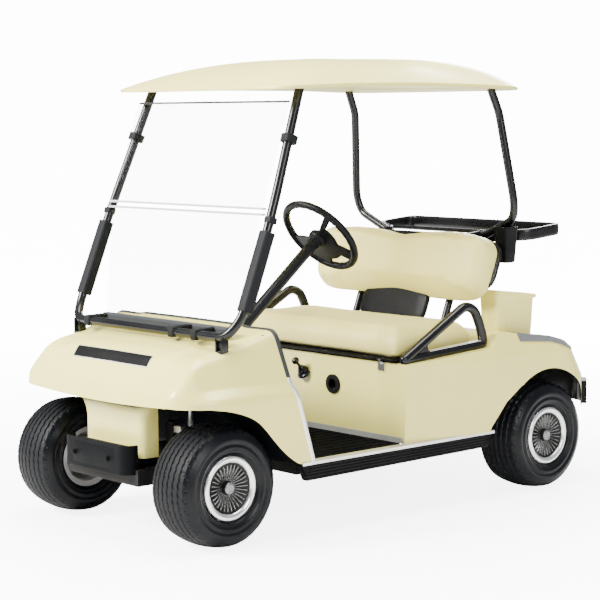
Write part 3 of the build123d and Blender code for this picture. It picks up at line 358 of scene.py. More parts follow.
def merge_grids(grids):
    """Several (points, faces) pairs as one pair, with the later faces' numbers moved up."""
    starts = np.cumsum([0] + [points.reshape(-1, 3).shape[0] for points, _ in grids[:-1]])
    points = np.concatenate([points.reshape(-1, 3) for points, _ in grids])
    faces = np.concatenate([faces + start for (_, faces), start in zip(grids, starts)])
    return points, faces


def as_grid(points, wrap_rows=False, wrap_columns=True):
    """Rows of points with their faces. A row is a closed ring unless it is said not to be."""
    return points, grid_faces(*points.shape[:2], wrap_rows, wrap_columns)


def make_piece(name, grids, material, stands_for=(), body="chassis", sharp=50, outward=True):
    """A smooth-shaded mesh of (points, faces) pairs that rides on a body and may stand for CAD nodes.

    Points are in mm. All the faces are turned over together where the volume they enclose is below
    zero. With outward=False they stay as they are numbered.
    """
    points, faces = merge_grids(grids)
    points = points / 1000
    if outward and enclosed(points, faces) < 0:
        faces = faces[:, ::-1]
    mesh = bpy.data.meshes.new(name)
    mesh.vertices.add(len(points))
    mesh.vertices.foreach_set("co", points.ravel())
    mesh.loops.add(faces.size)
    mesh.loops.foreach_set("vertex_index", np.ascontiguousarray(faces).ravel())
    mesh.polygons.add(len(faces))
    mesh.polygons.foreach_set("loop_start", np.arange(0, faces.size, 4))
    mesh.update(calc_edges=True)
    welded = bmesh.new()
    welded.from_mesh(mesh)
    bmesh.ops.remove_doubles(welded, verts=welded.verts, dist=1e-7)
    welded.to_mesh(mesh)
    welded.free()
    mesh.polygons.foreach_set("use_smooth", np.ones(len(mesh.polygons), bool))
    mesh.set_sharp_from_angle(angle=math.radians(sharp))
    mesh.materials.append(material)
    piece = bpy.data.objects.new(name, mesh)
    bpy.context.scene.collection.objects.link(piece)
    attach(piece, body)
    if stands_for:
        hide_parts(*stands_for)


def arc_through(a, b, c, count):
    """Points of the circle through three flat points, first to last: centre plus radius times direction."""
    a, b, c = (np.asarray(p, float) for p in (a, b, c))
    m = np.array([b - a, c - a]) * 2
    centre = np.linalg.solve(m, [b @ b - a @ a, c @ c - a @ a])
    angles = np.unwrap([math.atan2(*(p - centre)[::-1]) for p in (a, b, c)])
    sweep = np.linspace(angles[0], angles[2], count)
    return centre + np.linalg.norm(a - centre) * np.stack([np.cos(sweep), np.sin(sweep)], -1)


def turned(profile, steps, dent=None):
    """Points of a profile of (x, radius) rows turned about X: (x, r cos t, r sin t).

    dent(x, radius, turn) gives the depth, in mm, that the surface is sunk along the radius.
    """
    turn = np.linspace(0, 2 * math.pi, steps, endpoint=False)[:, None]
    x, radius = (np.broadcast_to(column[None, :], (steps, len(profile))) for column in np.asarray(profile, float).T)
    if dent is not None:
        radius = radius - dent(x, radius, turn)
    return np.stack([x, radius * np.cos(turn), radius * np.sin(turn)], -1)


FRONT_AXLE, REAR_AXLE = (-907, 438), (757, 489)  # along the cart, half the track
TYRE_RADIUS = 224
TREAD_EDGE, TYRE_BULGE, TYRE_BEAD, BEAD_TOE = (86, 213), (108, 168), (86, 118), (86, 105)  # sideways, radius
TYRE_STEPS = 320
GROOVES = (-66, -40, -13, 13, 40, 66)
GROOVE_HALF, GROOVE_DEPTH = 3.6, 5.0
ZIGZAGS, ZIGZAG_SWING, LUGS = 44, 2.2, 96
SIDE_RINGS = [  # height, radius and width of each ring or hollow on the side wall
    (3.0, 177, 4.5), (-3.4, 162, 6.0), (2.2, 148, 5.0), (2.4, 133, 3.4), (-1.5, 126, 2.2), (-0.9, 196, 2.0),
]


def tread_dent(x, radius, turn):
    """How deep the tread is cut: grooves that zigzag round it, and notches in its shoulders.

    A groove is a smooth step of depth round x = x0 + swing triangle(turn); a notch is a step in the shoulder band.
    """
    zigzag = ZIGZAG_SWING * np.arcsin(np.sin(ZIGZAGS * turn)) * 2 / math.pi
    cut = sum(np.clip((GROOVE_HALF - np.abs(x - groove - zigzag)) / 1.2, 0, 1) for groove in GROOVES)
    sipes = np.clip((0.22 - np.abs(np.sin(0.5 * LUGS * turn + 0.04 * x))) / 0.1, 0, 1)
    shoulder = np.clip((np.abs(x) - 76) / 3, 0, 1) * np.clip((radius - 199) / 4, 0, 1)
    crown = np.clip((radius - 210) / 3, 0, 1)
    return GROOVE_DEPTH * cut * crown + 3.4 * sipes * shoulder * (1 - cut * crown)


side_wall = arc_through(TREAD_EDGE, TYRE_BULGE, TYRE_BEAD, 46)
ring_rise = sum(rise * np.exp(-((side_wall[:, 1] - radius) / width) ** 2) for rise, radius, width in SIDE_RINGS)
side_wall[:, 0] += np.minimum(ring_rise, TYRE_BULGE[0] - side_wall[:, 0])
tread_line = arc_through((-TREAD_EDGE[0], TREAD_EDGE[1]), (0, TYRE_RADIUS), TREAD_EDGE, 100)
left_wall, left_toe = (side_wall * (-1, 1))[::-1], (-BEAD_TOE[0], BEAD_TOE[1])
tyre_profile = np.concatenate([[left_toe], left_wall, tread_line[1:-1], side_wall, [BEAD_TOE]])
tyre_points, tyre_faces = as_grid(turned(tyre_profile, TYRE_STEPS, tread_dent), True)
CORNERS = [
    ("front_left", 1, *FRONT_AXLE), ("front_right", -1, *FRONT_AXLE),
    ("rear_left", 1, *REAR_AXLE), ("rear_right", -1, *REAR_AXLE),
]


def tyre_compound():
    """Blue-black rubber: duller and dustier on the tread, with a soft shine on the side walls."""
    made, tree, where = new_material("tyre_compound")
    tone = add_node(tree, "ShaderNodeValToRGB", {0: noise(tree, where, 22.0, 8.0, 0.7)})
    set_ramp(tone, [(0.3, (0.0012, 0.0016, 0.0024)), (0.72, (0.0034, 0.0042, 0.0058))])
    surface = add_node(tree, "ShaderNodeNewGeometry")
    facing = add_node(tree, "ShaderNodeSeparateXYZ", {0: surface.outputs["Normal"]})
    tread = mapped(tree, worked(tree, "ABSOLUTE", facing.outputs[0]), 0.2, 0.55, 1.0, 0.0)
    dust = worked(tree, "MULTIPLY", use_group(tree, dust_group, {"Top": 0.5, "Scale": 14.0}).outputs[0], tread)
    base = add_node(tree, "ShaderNodeMix", {
        "Factor": worked(tree, "MULTIPLY", dust, 0.06), 6: tone.outputs[0], 7: (0.07, 0.065, 0.06, 1)},
        data_type="RGBA")
    skin = use_group(tree, skin_group, {"Scale": 420.0, "Height": 0.00025, "Waves": 0.0004})
    principled(tree, {
        "Base Color": base.outputs[2], "Roughness": mapped(tree, tread, 0, 1, 0.30, 0.60), "Normal": skin.outputs[0],
        "Specular IOR Level": 0.16})
    return made


rubber = tyre_compound()
for corner, side, axle_y, half_track in CORNERS:
    centre = (side * half_track, axle_y, TYRE_RADIUS)
    make_piece(f"tyre_{corner}_treaded", [(tyre_points + centre, tyre_faces)], rubber,
               [f"tyre_{corner}"], f"road_wheel_{corner}", sharp=40)

# ---------------------------------------------------------------------------
# Wheels: pressed steel rims painted silver, each with a plastic cover clipped
# into its flange: a bright ring, a black bowl and a turbine of thin bright fins.
# ---------------------------------------------------------------------------
FINS = 30
RING_PROFILE = [
    (84, 119), (92, 119.5), (97, 118), (100.5, 114), (101.5, 108), (100.5, 103), (98, 98), (94.5, 94.5), (90, 93),
    (87, 95), (84, 101),
]
BOWL_PROFILE = [
    (84, 100), (90, 94), (88.5, 90), (85, 84), (80, 72), (76, 58), (73.5, 44), (73, 34), (74, 28), (78, 26),
    (86, 25), (91, 23.5), (94, 20), (95.5, 14), (95.8, 6), (95.8, 0.0),
]
RIM_PROFILE = [
    (88, 95), (88, 104), (95, 118), (92, 119), (84, 106), (80, 102), (-80, 102), (-84, 106), (-92, 119), (-95, 118),
    (-88, 104), (-86, 97), (-60, 93), (30, 91), (34, 60), (34, 33), (-14, 32), (-14, 12.6), (62, 12.6), (62, 31),
    (42, 34), (40, 62), (40, 90), (46, 94),
]


def rounded(outline, times=2):
    """An outline with its corners cut twice: each side keeps its middle half, as in Chaikin's rule."""
    line = np.asarray(outline, float)
    for _ in range(times):
        ahead = np.roll(line, -1, 0)
        line = np.stack([line * 0.75 + ahead * 0.25, line * 0.25 + ahead * 0.75], 1).reshape(-1, line.shape[1])
    return line


def fins():
    """Thin curved blades: each runs out over the bowl at an even angle, w wide and h high above it.

    Along a blade, s goes from the hub to the ring; the blade's foot follows the bowl and its top edge
    rises to the ring's height, while the width grows from 1.6 to 3.6 mm.
    """
    steps = np.linspace(0, 1, 9)
    foot_x = np.interp(27 + 62 * steps, [27, 34, 44, 58, 72, 84, 90], [75, 73, 73.5, 76, 80, 85, 88.5])
    top_x = foot_x + 3.2 + 7.6 * np.sin(math.pi * np.clip(steps, 0, 1) ** 1.3)
    reach = 27 + 57 * steps
    half = 0.55 + 0.6 * steps
    section = np.stack([
        np.stack([foot_x - 1, reach, half], -1), np.stack([top_x - 0.8, reach, half * 0.9], -1),
        np.stack([top_x, reach, half * 0.35], -1), np.stack([top_x, reach, -half * 0.35], -1),
        np.stack([top_x - 0.8, reach, -half * 0.9], -1), np.stack([foot_x - 1, reach, -half], -1)], 1)
    section = np.concatenate([section[:1] * 0 + section[0].mean(0), section, section[-1:] * 0 + section[-1].mean(0)])
    turns = (np.arange(FINS) * 2 * math.pi / FINS)[:, None, None]
    x, out, across = (np.broadcast_to(section[None, :, :, part], (FINS,) + section.shape[:2]) for part in range(3))
    blades = np.stack([x, out * np.cos(turns) - across * np.sin(turns),
                       out * np.sin(turns) + across * np.cos(turns)], -1)
    faces = grid_faces(section.shape[0], section.shape[1], False, True)
    return merge_grids([(blade, faces) for blade in blades])


bright_ring = moulded("bright_ring", (0.80, 0.80, 0.79), (0.16, 0.30), 0.4, (700, 0.00005),
                      metallic=0.9, dust_top=0.4, dust_share=0.12, spread=0.03, mottle=9.0)
bowl_black = moulded("bowl_black", (0.002, 0.002, 0.0025), (0.35, 0.5), 0.0, (500, 0.0001),
                     dust_share=0.03, specular=0.2)
rim_paint = moulded("rim_paint", (0.34, 0.34, 0.35), (0.35, 0.5), 0.1, (400, 0.0002),
                    metallic=0.5, dust_top=0.5, dust_share=0.4)
# The fins' silver is the ring's, painted darker: painted shade for fins sunk in the black bowl.
shaded_fin_metal = moulded("shaded_fin_metal", (0.42, 0.42, 0.42), (0.22, 0.34), 0.2, (700, 0.00004),
                    metallic=0.85, dust_top=0.4, dust_share=0.05, spread=0.04, mottle=20.0)
cap_grey = moulded("cap_grey", (0.20, 0.20, 0.21), (0.3, 0.4), 0.1, (700, 0.00005), metallic=0.6, dust_share=0.05)
CAP_PROFILE = [
    (88, 0), (97.5, 0), (97.3, 5), (96.6, 9), (97.6, 11), (97.4, 14), (96, 18), (93.5, 21), (91, 22.5), (89, 23),
    (88, 23), (88, 0),
]
WHEEL_PARTS = [
    ("rim", as_grid(turned(rounded(RIM_PROFILE, 1), 96), True), rim_paint, "wheel_metal", 40),
    ("cover_ring", as_grid(turned(rounded(RING_PROFILE), 128), True), bright_ring, "wheel_metal", 40),
    ("cover_bowl", as_grid(turned(BOWL_PROFILE, 96), True, False), bowl_black, "black_plastic", 40),
    ("cover_fins", fins(), shaded_fin_metal, "wheel_metal", 50),
    ("cover_cap", as_grid(turned(CAP_PROFILE, 64), True, False), cap_grey, "wheel_metal", 40),
]
for corner, side, axle_y, half_track in CORNERS:
    centre = np.array((side * half_track, axle_y, TYRE_RADIUS))
    for part, (points, faces), material, slot, sharp in WHEEL_PARTS:
        make_piece(f"{part}_{corner}", [(points * (side, side, 1) + centre, faces)], material,
                   [f"wheel_{corner}"] if part == "rim" else (), f"road_wheel_{corner}", sharp)

# ---------------------------------------------------------------------------
# Seat: two foam cushions in cream vinyl, stretched over a board and stapled
# under its edge. The bottom one lies on its pan, the back one on a black shell.
# ---------------------------------------------------------------------------


def seat_vinyl():
    """Coated vinyl: pressed leather grain, soft shine, and slack ripples towards the corners."""
    made, tree, where = new_material("seat_vinyl")
    cloud = noise(tree, where, 5.0, 5.0)
    tone = add_node(tree, "ShaderNodeValToRGB", {0: cloud})
    set_ramp(tone, [(0.3, (0.70, 0.62, 0.17)), (0.7, (0.75, 0.67, 0.21))])
    grain = add_node(tree, "ShaderNodeTexVoronoi", {
        "Vector": where.outputs["Object"], "Scale": 420.0}, feature="DISTANCE_TO_EDGE")
    ripple = add_node(tree, "ShaderNodeBump", {
        "Height": noise(tree, where, 14.0, 2.0, distortion=0.6), "Distance": 0.0022, "Strength": 0.8})
    pressed = add_node(tree, "ShaderNodeBump", {
        "Height": mapped(tree, grain.outputs["Distance"], 0, 0.12), "Distance": 0.00022, "Strength": 0.6,
        "Normal": ripple.outputs[0]})
    principled(tree, {
        "Base Color": tone.outputs[0], "Roughness": mapped(tree, cloud, 0.3, 0.7, 0.34, 0.48),
        "Normal": pressed.outputs[0], "Sheen Weight": 0.15, "Sheen Roughness": 0.4, "Coat Weight": 0.12,
        "Coat Roughness": 0.3, "Subsurface Weight": 0.04, "Subsurface Radius": (0.02, 0.015, 0.008)})
    return made


def point_rows(mesh):
    """A mesh's points as rows of three numbers."""
    points = np.zeros(len(mesh.vertices) * 3)
    mesh.vertices.foreach_get("co", points)
    return points.reshape(-1, 3)


def apply_modifier(piece, kind, **settings):
    """Adds a modifier, sets it and applies it."""
    made = piece.modifiers.new(kind, kind)
    for name, value in settings.items():
        setattr(made, name, value)
    bpy.ops.object.modifier_apply(modifier=made.name)


PUFF_PRESSURE, PUFF_FRAMES = 5.0, 20
SKIN_VOXEL = 0.0085


def stuffed(name, node, shrink, most, rest):
    """A cushion blown up by cloth simulation from a slightly smaller copy of its solid.

    rest(points, start) puts back what lies on a board. A point moves by no more than most metres.
    """
    piece = bpy.data.objects.new(name, cad_node[node].data.copy())
    bpy.context.scene.collection.objects.link(piece)
    low, high = (np.array(corner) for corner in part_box(node))
    middle = (low + high) / 2
    points = middle + (point_rows(piece.data) - middle) * (1 - shrink / ((high - low) / 2))
    piece.data.vertices.foreach_set("co", points.ravel())
    bpy.ops.object.select_all(action="DESELECT")
    bpy.context.view_layer.objects.active = piece
    piece.select_set(True)
    apply_modifier(piece, "REMESH", mode="VOXEL", voxel_size=SKIN_VOXEL)
    apply_modifier(piece, "SMOOTH", factor=0.5, iterations=6)
    start = point_rows(piece.data)
    cloth = piece.modifiers.new("blow", "CLOTH")
    cloth.settings.use_pressure = True
    cloth.settings.uniform_pressure_force = PUFF_PRESSURE
    cloth.settings.effector_weights.gravity = 0
    cloth.settings.quality = 5
    cloth.settings.tension_stiffness = cloth.settings.compression_stiffness = 30
    cloth.settings.bending_stiffness = 2.0
    cloth.point_cache.frame_start, cloth.point_cache.frame_end = 1, PUFF_FRAMES
    for moment in range(1, PUFF_FRAMES + 1):
        bpy.context.scene.frame_set(moment)
    bpy.ops.object.modifier_apply(modifier="blow")
    bpy.context.scene.frame_set(1)
    moved = point_rows(piece.data) - start
    far = np.linalg.norm(moved, axis=1, keepdims=True)
    points = rest(start + moved * np.minimum(1, most / np.maximum(far, 1e-9)), start)
    piece.data.vertices.foreach_set("co", points.ravel())
    apply_modifier(piece, "SMOOTH", factor=0.5, iterations=10)
    apply_modifier(piece, "SUBSURF", levels=1, render_levels=1)
    piece.data.materials.clear()
    piece.data.materials.append(vinyl)
    piece.data.polygons.foreach_set("use_smooth", np.ones(len(piece.data.polygons), bool))
    piece.data.update()
    return piece


vinyl = seat_vinyl()
seat_low, seat_high = (np.array(corner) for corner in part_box("seat_cushion"))


def on_the_pan(points, start):
    """Keeps the underside flat on its board, and gives the cushion its long roll along the front edge.

    The roll lifts the top by a bell of y and swells the front by a bell of the height.
    """
    x, y, z = points.T
    top = np.clip((z - 0.64) / 0.05, 0, 1)
    across = np.clip(1 - (np.abs(x) / 0.52) ** 6, 0, 1)
    z = z + across * top * (0.012 * np.exp(-((y - 0.02) / 0.09) ** 2) + 0.006 * np.exp(-((y - 0.25) / 0.12) ** 2))
    front = np.clip((0.02 - y) / 0.08, 0, 1)
    corner = np.clip((np.abs(x) - 0.40) / 0.10, 0, 1) ** 2
    y = y - 0.012 * front * np.exp(-((z - 0.655) / 0.03) ** 2) + 0.030 * front * corner
    z = z - 0.010 * corner * top
    x = x * 1.024
    return np.stack([x, y, np.clip(z, seat_low[2] + 0.0005, seat_high[2] + 0.02)], -1)


BACK_LEAN = math.radians(21.4)
back_up = np.array((0, math.sin(BACK_LEAN), math.cos(BACK_LEAN)))
back_in = np.array((0, math.cos(BACK_LEAN), -math.sin(BACK_LEAN)))
BACK_ORIGIN = np.array((0, 0.463, 0.683))


def on_the_shell(points, start):
    """Keeps the back flat on its shell, and gives the front its two hollows and lobes.

    In the cushion's own plane the lower edge drops to a lobe on each side of the middle, the top dips
    between two crowns, the ends narrow to a round, and the front swells by a product of two parabolas.
    """
    depth = (start - BACK_ORIGIN) @ back_in
    held = np.clip((depth + 0.060) / 0.012, 0, 1)[:, None]
    points = points * (1 - held) + start * held
    x = points[:, 0]
    height = (points - BACK_ORIGIN) @ back_up
    lower = np.clip((0.264 - height) / 0.138, 0, 1.2)
    upper = np.clip((height - 0.264) / 0.138, 0, 1.2)
    middle = np.exp(-(x / 0.12) ** 2)
    rise = upper * (0.001 - 0.014 * middle) - lower * (0.038 - 0.017 * middle)
    end = np.clip((np.abs(x) - 0.36) / 0.15, 0, 1.1)
    rise = rise - (height + rise - 0.258) * (1 - np.sqrt(np.clip(1 - (0.70 * end) ** 2, 0, 1)))
    swell = 0.032 * np.clip(1 - (x / 0.56) ** 4, 0, 1) * np.clip(1 - ((height - 0.250) / 0.22) ** 2, 0, 1)
    swell = (swell - 0.009 * np.exp(-(x / 0.07) ** 2)) * (1 - held[:, 0])
    points = points + rise[:, None] * back_up - swell[:, None] * back_in
    points[:, 0] = x * (1 + 0.03 * np.clip(np.abs(x) / 0.5, 0, 1))
    return points


for name, node, shrink, most, rest, body in (
        ("bottom_cushion", "seat_cushion", 0.008, 0.024, on_the_pan, "seat_bottom"),
        ("back_cushion", "backrest_cushion", 0.006, 0.022, on_the_shell, "chassis")):
    cushion = stuffed(name, node, shrink, most, rest)
    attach(cushion, body)
    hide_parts(node)

# ---------------------------------------------------------------------------
# Back shell: a black moulded shell screwed behind the back cushion, with a
# smooth panel that hangs below it to the deck.
# ---------------------------------------------------------------------------


def in_back_plane(across, height, depth):
    """Points from the seat back's own plane: sideways, up along its lean, and in towards the rear, in mm."""
    flat = np.stack([across, 0 * across, 0 * across], -1)
    return flat + 1000 * BACK_ORIGIN + height[..., None] * back_up + depth[..., None] * back_in


def squared_circle(count, power):
    """A unit outline between a circle and a square: |u|^n + |v|^n = 1, sampled evenly in angle."""
    turn = np.linspace(0, 2 * math.pi, count, endpoint=False)
    unit = np.stack([np.cos(turn), np.sin(turn)], -1)
    return unit * ((np.abs(unit) ** power).sum(-1) ** (-1 / power))[:, None]


BACK_PARTS = [  # centre and half size across and up the back; share of the outline and depth, row by row
    ((0, 254), (526, 132), [(0, -50), (0.9, -50), (0.985, -49), (1.0, -46), (1.0, -38), (0.99, -34), (0.95, -32),
                            (0.6, -30), (0, -30)]),
    ((0, 62), (196, 78), [(0, -61), (0.7, -60), (0.93, -57), (0.985, -52), (1.0, -46), (0.99, -40), (0.9, -38),
                          (0, -38)]),
]
shell_unit = squared_circle(200, 4.2)
shell_grids = [as_grid(np.stack([
    in_back_plane(*(centre + half * share * shell_unit).T, 0 * shell_unit[:, 0] + depth) for share, depth in rows]))
    for centre, half, rows in ((np.array(centre), np.array(half), rows) for centre, half, rows in BACK_PARTS)]
make_piece("back_shell_moulded", shell_grids, black_plastic, ["backrest_shell"])

# ---------------------------------------------------------------------------
# Steering wheel: black urethane moulded over a steel ring and three flat
# spokes with long slots, held to the column by a nut under the centre pad.
# ---------------------------------------------------------------------------


def swept(path, section, turn_axis=(0, 0, 1), closed=False):
    """A section carried along a path: path point plus u times the side direction plus v times the cross direction.

    section is (points, 2) or, for a changing section, (stations, points, 2). The side direction is
    square to the path and to turn_axis, and the cross direction is square to both.
    """
    path = np.asarray(path, float)
    along = np.roll(path, -1, 0) - np.roll(path, 1, 0) if closed else np.gradient(path, axis=0)
    along /= np.linalg.norm(along, axis=1, keepdims=True)
    side = np.cross(along, np.asarray(turn_axis, float))
    side /= np.linalg.norm(side, axis=1, keepdims=True)
    cross = np.cross(side, along)
    section = np.broadcast_to(np.asarray(section, float), (len(path),) + np.shape(section)[-2:])
    return path[:, None] + section[..., :1] * side[:, None] + section[..., 1:] * cross[:, None]


def capped(points):
    """An open sweep with each end drawn in to a point, so that the piece is closed."""
    return np.concatenate([points[:1] * 0 + points[0].mean(0), points, points[-1:] * 0 + points[-1].mean(0)])


def round_bar(radius, count=20):
    """A circle of section points."""
    turn = np.linspace(0, 2 * math.pi, count, endpoint=False)
    return radius * np.stack([np.cos(turn), np.sin(turn)], -1)


def flat_bar(half_width, half_height, count=6):
    """A rounded rectangle: |u / a|^5 + |v / b|^5 = 1, sampled evenly in angle."""
    return squared_circle(4 * count, 5) * (half_width, half_height)


def block_grid(low, high, edge=2.0):
    """A block with softened edges: a rounded rectangle swept up between two drawn-in ends."""
    low, high = np.asarray(low, float), np.asarray(high, float)
    middle, half = (low + high) / 2, (high - low) / 2
    levels = np.array([low[2], low[2] + 0.3 * edge, low[2] + edge, high[2] - edge, high[2] - 0.3 * edge, high[2]])
    shrink = edge * np.array([1, 0.3, 0, 0, 0.3, 1])
    rows = middle[:2] + flat_bar(1, 1) * (half[:2] - shrink[:, None])[:, None]
    return as_grid(capped(np.concatenate([rows, np.broadcast_to(levels[:, None, None], rows.shape[:2] + (1,))], -1)))


WHEEL_CENTRE = np.array((290, -245, 1091))
WHEEL_RADIUS, GRIP, FINGER_RISE = 161, 15.5, 1.5
COLUMN_RISE = math.radians(50.6)
column_up = np.array((0, math.sin(COLUMN_RISE), math.cos(COLUMN_RISE)))
wheel_frame = np.stack([(1, 0, 0), np.cross(column_up, (1, 0, 0)), column_up])


def on_wheel(points):
    """Points of the wheel's own frame, whose third axis is the column, in the cart's frame."""
    return WHEEL_CENTRE + np.asarray(points) @ wheel_frame


PLATE_EDGE = [  # angle from the cart's left, outer reach: spokes run out to the ring between the slots
    (-50, 24), (-46, 158), (-37, 158), (-32, 84), (22, 92), (29, 158), (50, 158), (56, 112), (94, 116), (101, 158),
    (178, 158), (184, 24),
]
PLATE_INNER, PLATE_HALF_THICK = 12, 3.6
PAD_PROFILE = [  # reach from the column's line, height along it
    (0, 0), (14, -0.3), (28, -1.6), (34, -4), (37, -8), (37, -24), (34, -30), (26, -34), (24, -44), (24, -58),
    (22, -60), (0, -60),
]
black_grip = moulded("black_grip", (0.0018, 0.002, 0.0022), (0.4, 0.5), 0.0, (900, 0.0002), specular=0.12)
turn = np.linspace(0, 2 * math.pi, 240, endpoint=False)[:, None]
ring = WHEEL_RADIUS * np.concatenate([np.cos(turn), np.sin(turn), 0 * turn], -1)
grip_unit = round_bar(1, 24)
fingers = FINGER_RISE * np.abs(np.sin(14 * turn)) * np.clip(grip_unit[None, :, 0], 0, 1) ** 0.5
grip_section = (GRIP - FINGER_RISE + fingers)[..., None] * -grip_unit

plate_angle = np.linspace(-52, 186, 240)[:, None]
plate_half = (np.interp(plate_angle, *np.asarray(PLATE_EDGE, float).T) - PLATE_INNER) / 2
plate_unit = flat_bar(1, 1, 8)
plate_reach = PLATE_INNER + plate_half + plate_half * plate_unit[:, 0]
dish = np.interp(plate_reach, (20, 60, 157), (-18, -13, -3))
plate = np.stack([plate_reach * np.cos(np.radians(plate_angle)), plate_reach * np.sin(np.radians(plate_angle)),
                  dish + PLATE_HALF_THICK * plate_unit[:, 1]], -1)

pad_reach, pad_height = np.asarray(PAD_PROFILE, float).T
turn = np.linspace(0, 2 * math.pi, 64, endpoint=False)[:, None]
pad = np.stack([pad_reach * np.cos(turn), pad_reach * np.sin(turn), pad_height + 0 * turn], -1)
clip, clip_faces = block_grid((-34, -22, -4), (34, 26, 10), 4)
make_piece("steering_wheel_moulded", [
    as_grid(on_wheel(swept(ring, grip_section, closed=True)), True), as_grid(on_wheel(capped(plate))),
    as_grid(on_wheel(pad), True, False), (on_wheel(clip), clip_faces)],
    black_grip, ["steering_wheel"], "steering_wheel", sharp=40)

# ---------------------------------------------------------------------------
# Cowl: one large moulding of ivory plastic, 5 mm thick, that is nose, bonnet
# and front wheel arches, with a hollow pillar down to the bumper. A rubber
# edging and, down its legs, a bright metal strip close its back edge.
# ---------------------------------------------------------------------------
COWL_FRONT, COWL_BACK, COWL_WALL = -1117, -690, 5
FORM_ROWS, COWL_ROWS = 260, 180
COWL_STATIONS = np.array([
    # back from the nose, arch half width, crease out and up, corner out and up, middle level, raised panel
    (0, 420, 419, 510, 408, 510, 510, 0),
    (10, 450, 446, 540, 434, 548, 550, 0),
    (25, 476, 468, 562, 450, 578, 587, 1),
    (51, 504, 486, 575, 462, 608, 621, 3),
    (75, 520, 494, 579, 464, 638, 653, 5),
    (98, 532, 501, 581, 464, 664, 684, 9),
    (127, 546, 506, 583, 461, 682, 697, 12),
    (227, 565, 522, 585, 461, 706, 717, 12),
    (327, 570, 531, 585, 468, 733, 743, 12),
    (427, 572, 540, 582, 478, 762, 768, 8),
    (527, 573, 545, 579, 487, 789, 796, 8),
    (627, 573, 549, 576, 496, 816, 824, 8),
], float)
WELL_LINE = np.array([  # along the cart and up: the lower edge of the arches and legs
    (-1130, 510), (-1110, 512), (-1060, 519), (-1001, 519), (-940, 510), (-887, 496), (-840, 478), (-803, 457),
    (-768, 424), (-733, 383), (-690, 338), (-650, 305), (-610, 279), (-480, 279),
], float)
LEG_LINE = np.array([(-542, 290), (-628, 579), (-652, 764), (-685, 900)], float)


def eased(at, knots, values):
    """A cubic through rows of values, its slope at a knot the mean of the slopes beside it, weighted by nearness."""
    gap = np.diff(knots)
    slope = np.diff(values, axis=0) / gap[:, None]
    inner = (slope[:-1] * gap[1:, None] + slope[1:] * gap[:-1, None]) / (gap[:-1] + gap[1:])[:, None]
    slopes = np.concatenate([slope[:1], inner, slope[-1:]])
    left = np.clip(np.searchsorted(knots, at) - 1, 0, len(knots) - 2)
    s = ((at - knots[left]) / gap[left])[:, None]
    return ((1 + 2 * s) * (1 - s) ** 2 * values[left] + s * (1 - s) ** 2 * gap[left, None] * slopes[left]
            + s * s * (3 - 2 * s) * values[left + 1] + s * s * (s - 1) * gap[left, None] * slopes[left + 1])


def rounded_lines(corners, cuts, bend_count, side_counts):
    """Lines whose inner corners are rounded: (1-s)^2 a + 2s(1-s) corner + s^2 b from a to b, each cut back from it."""
    step = np.diff(corners, axis=1)
    length = np.linalg.norm(step, axis=-1)
    ahead = step / length[..., None]
    cut = np.minimum(cuts, 0.48 * np.minimum(length[:, :-1], length[:, 1:]))[..., None]
    a = corners[:, 1:-1] - cut * ahead[:, :-1]
    b = corners[:, 1:-1] + cut * ahead[:, 1:]
    s = np.linspace(0, 1, bend_count)[:, None]
    bends = ((1 - s) ** 2 * a[:, :, None] + 2 * s * (1 - s) * corners[:, 1:-1, None] + s * s * b[:, :, None])
    starts = np.concatenate([corners[:, :1], b], 1)
    ends = np.concatenate([a, corners[:, -1:]], 1)
    rows = [corners[:, :1]]
    for side, count in enumerate(side_counts):
        share = np.linspace(0, 1, count + 2)[1:-1, None]
        rows.append(starts[:, side, None] * (1 - share) + ends[:, side, None] * share)
        rows.append(bends[:, side] if side < len(side_counts) - 1 else corners[:, -1:])
    return np.concatenate(rows, 1)


def softened(points, times):
    """Rows averaged with their neighbours, a quarter each side, with the end rows kept."""
    points = points.copy()
    for _ in range(times):
        points[1:-1] = points[1:-1] * 0.5 + (points[:-2] + points[2:]) * 0.25
    return points


def grid_normals(points):
    """Unit normals of an open grid: the cross product of its two directions."""
    normal = np.cross(np.gradient(points, axis=0), np.gradient(points, axis=1))
    return normal / np.maximum(np.linalg.norm(normal, axis=-1, keepdims=True), 1e-9)


def sheet(outer, inner):
    """A closed skin of two open grids: each row runs out along one and back along the other."""
    both = np.concatenate([outer, inner[:, ::-1]], 1)
    first, last = (np.concatenate([outer[row:row + 1], outer[row:row + 1, ::-1]], 1) for row in (0, len(outer) - 1))
    return as_grid(np.concatenate([first, both, last]))


def cowl_form():
    """The cowl's outer skin: rounded cross sections, from one arch's lower edge over to the other's.

    A section runs up the arch, in over the crease, up the panel, round the shoulder and onto the raised
    bonnet. Sections are eased from station to station, and towards the back each leans along the leg line.
    """
    travel = np.concatenate([[0], np.cumsum(np.hypot(*np.diff(COWL_STATIONS[:, (0, 6)], axis=0).T))])
    rows = eased(np.linspace(0, travel[-1], FORM_ROWS), travel, COWL_STATIONS)
    back, arch, crease_out, crease_up, corner_out, corner_up, middle, raised = rows.T
    corner_out = corner_out + 5 * np.clip((back - 150) / 80, 0, 1)
    low = np.minimum(np.interp(back + COWL_FRONT, *WELL_LINE.T), crease_up - 1)
    roll = np.minimum(back / 100, 1)
    level = 0 * back
    corners = np.stack([np.stack(corner, -1) for corner in (
        (arch, low), (arch, np.maximum(crease_up - 38, low + 0.3)), (crease_out, crease_up), (corner_out, corner_up),
        (level + 335, middle - raised), (level + 300, middle - 0.1 * raised), (level, middle + 0.1 * raised))], 1)
    soft_crease = 5 + 24 * np.exp(-(back / 100) ** 2)
    cuts = np.stack([level + 22, soft_crease, 56 - 20 * roll, level + 14, level + 14], -1)
    half = softened(rounded_lines(corners, cuts, 12, (16, 2, 10, 8, 3, 24)), 12)
    section = np.concatenate([half, half[:, -2::-1] * (-1, 1)], 1)
    section[..., 1] += 15 * (section[..., 0] / 440) ** 2 * np.exp(-back / 30)[:, None]
    return back, section


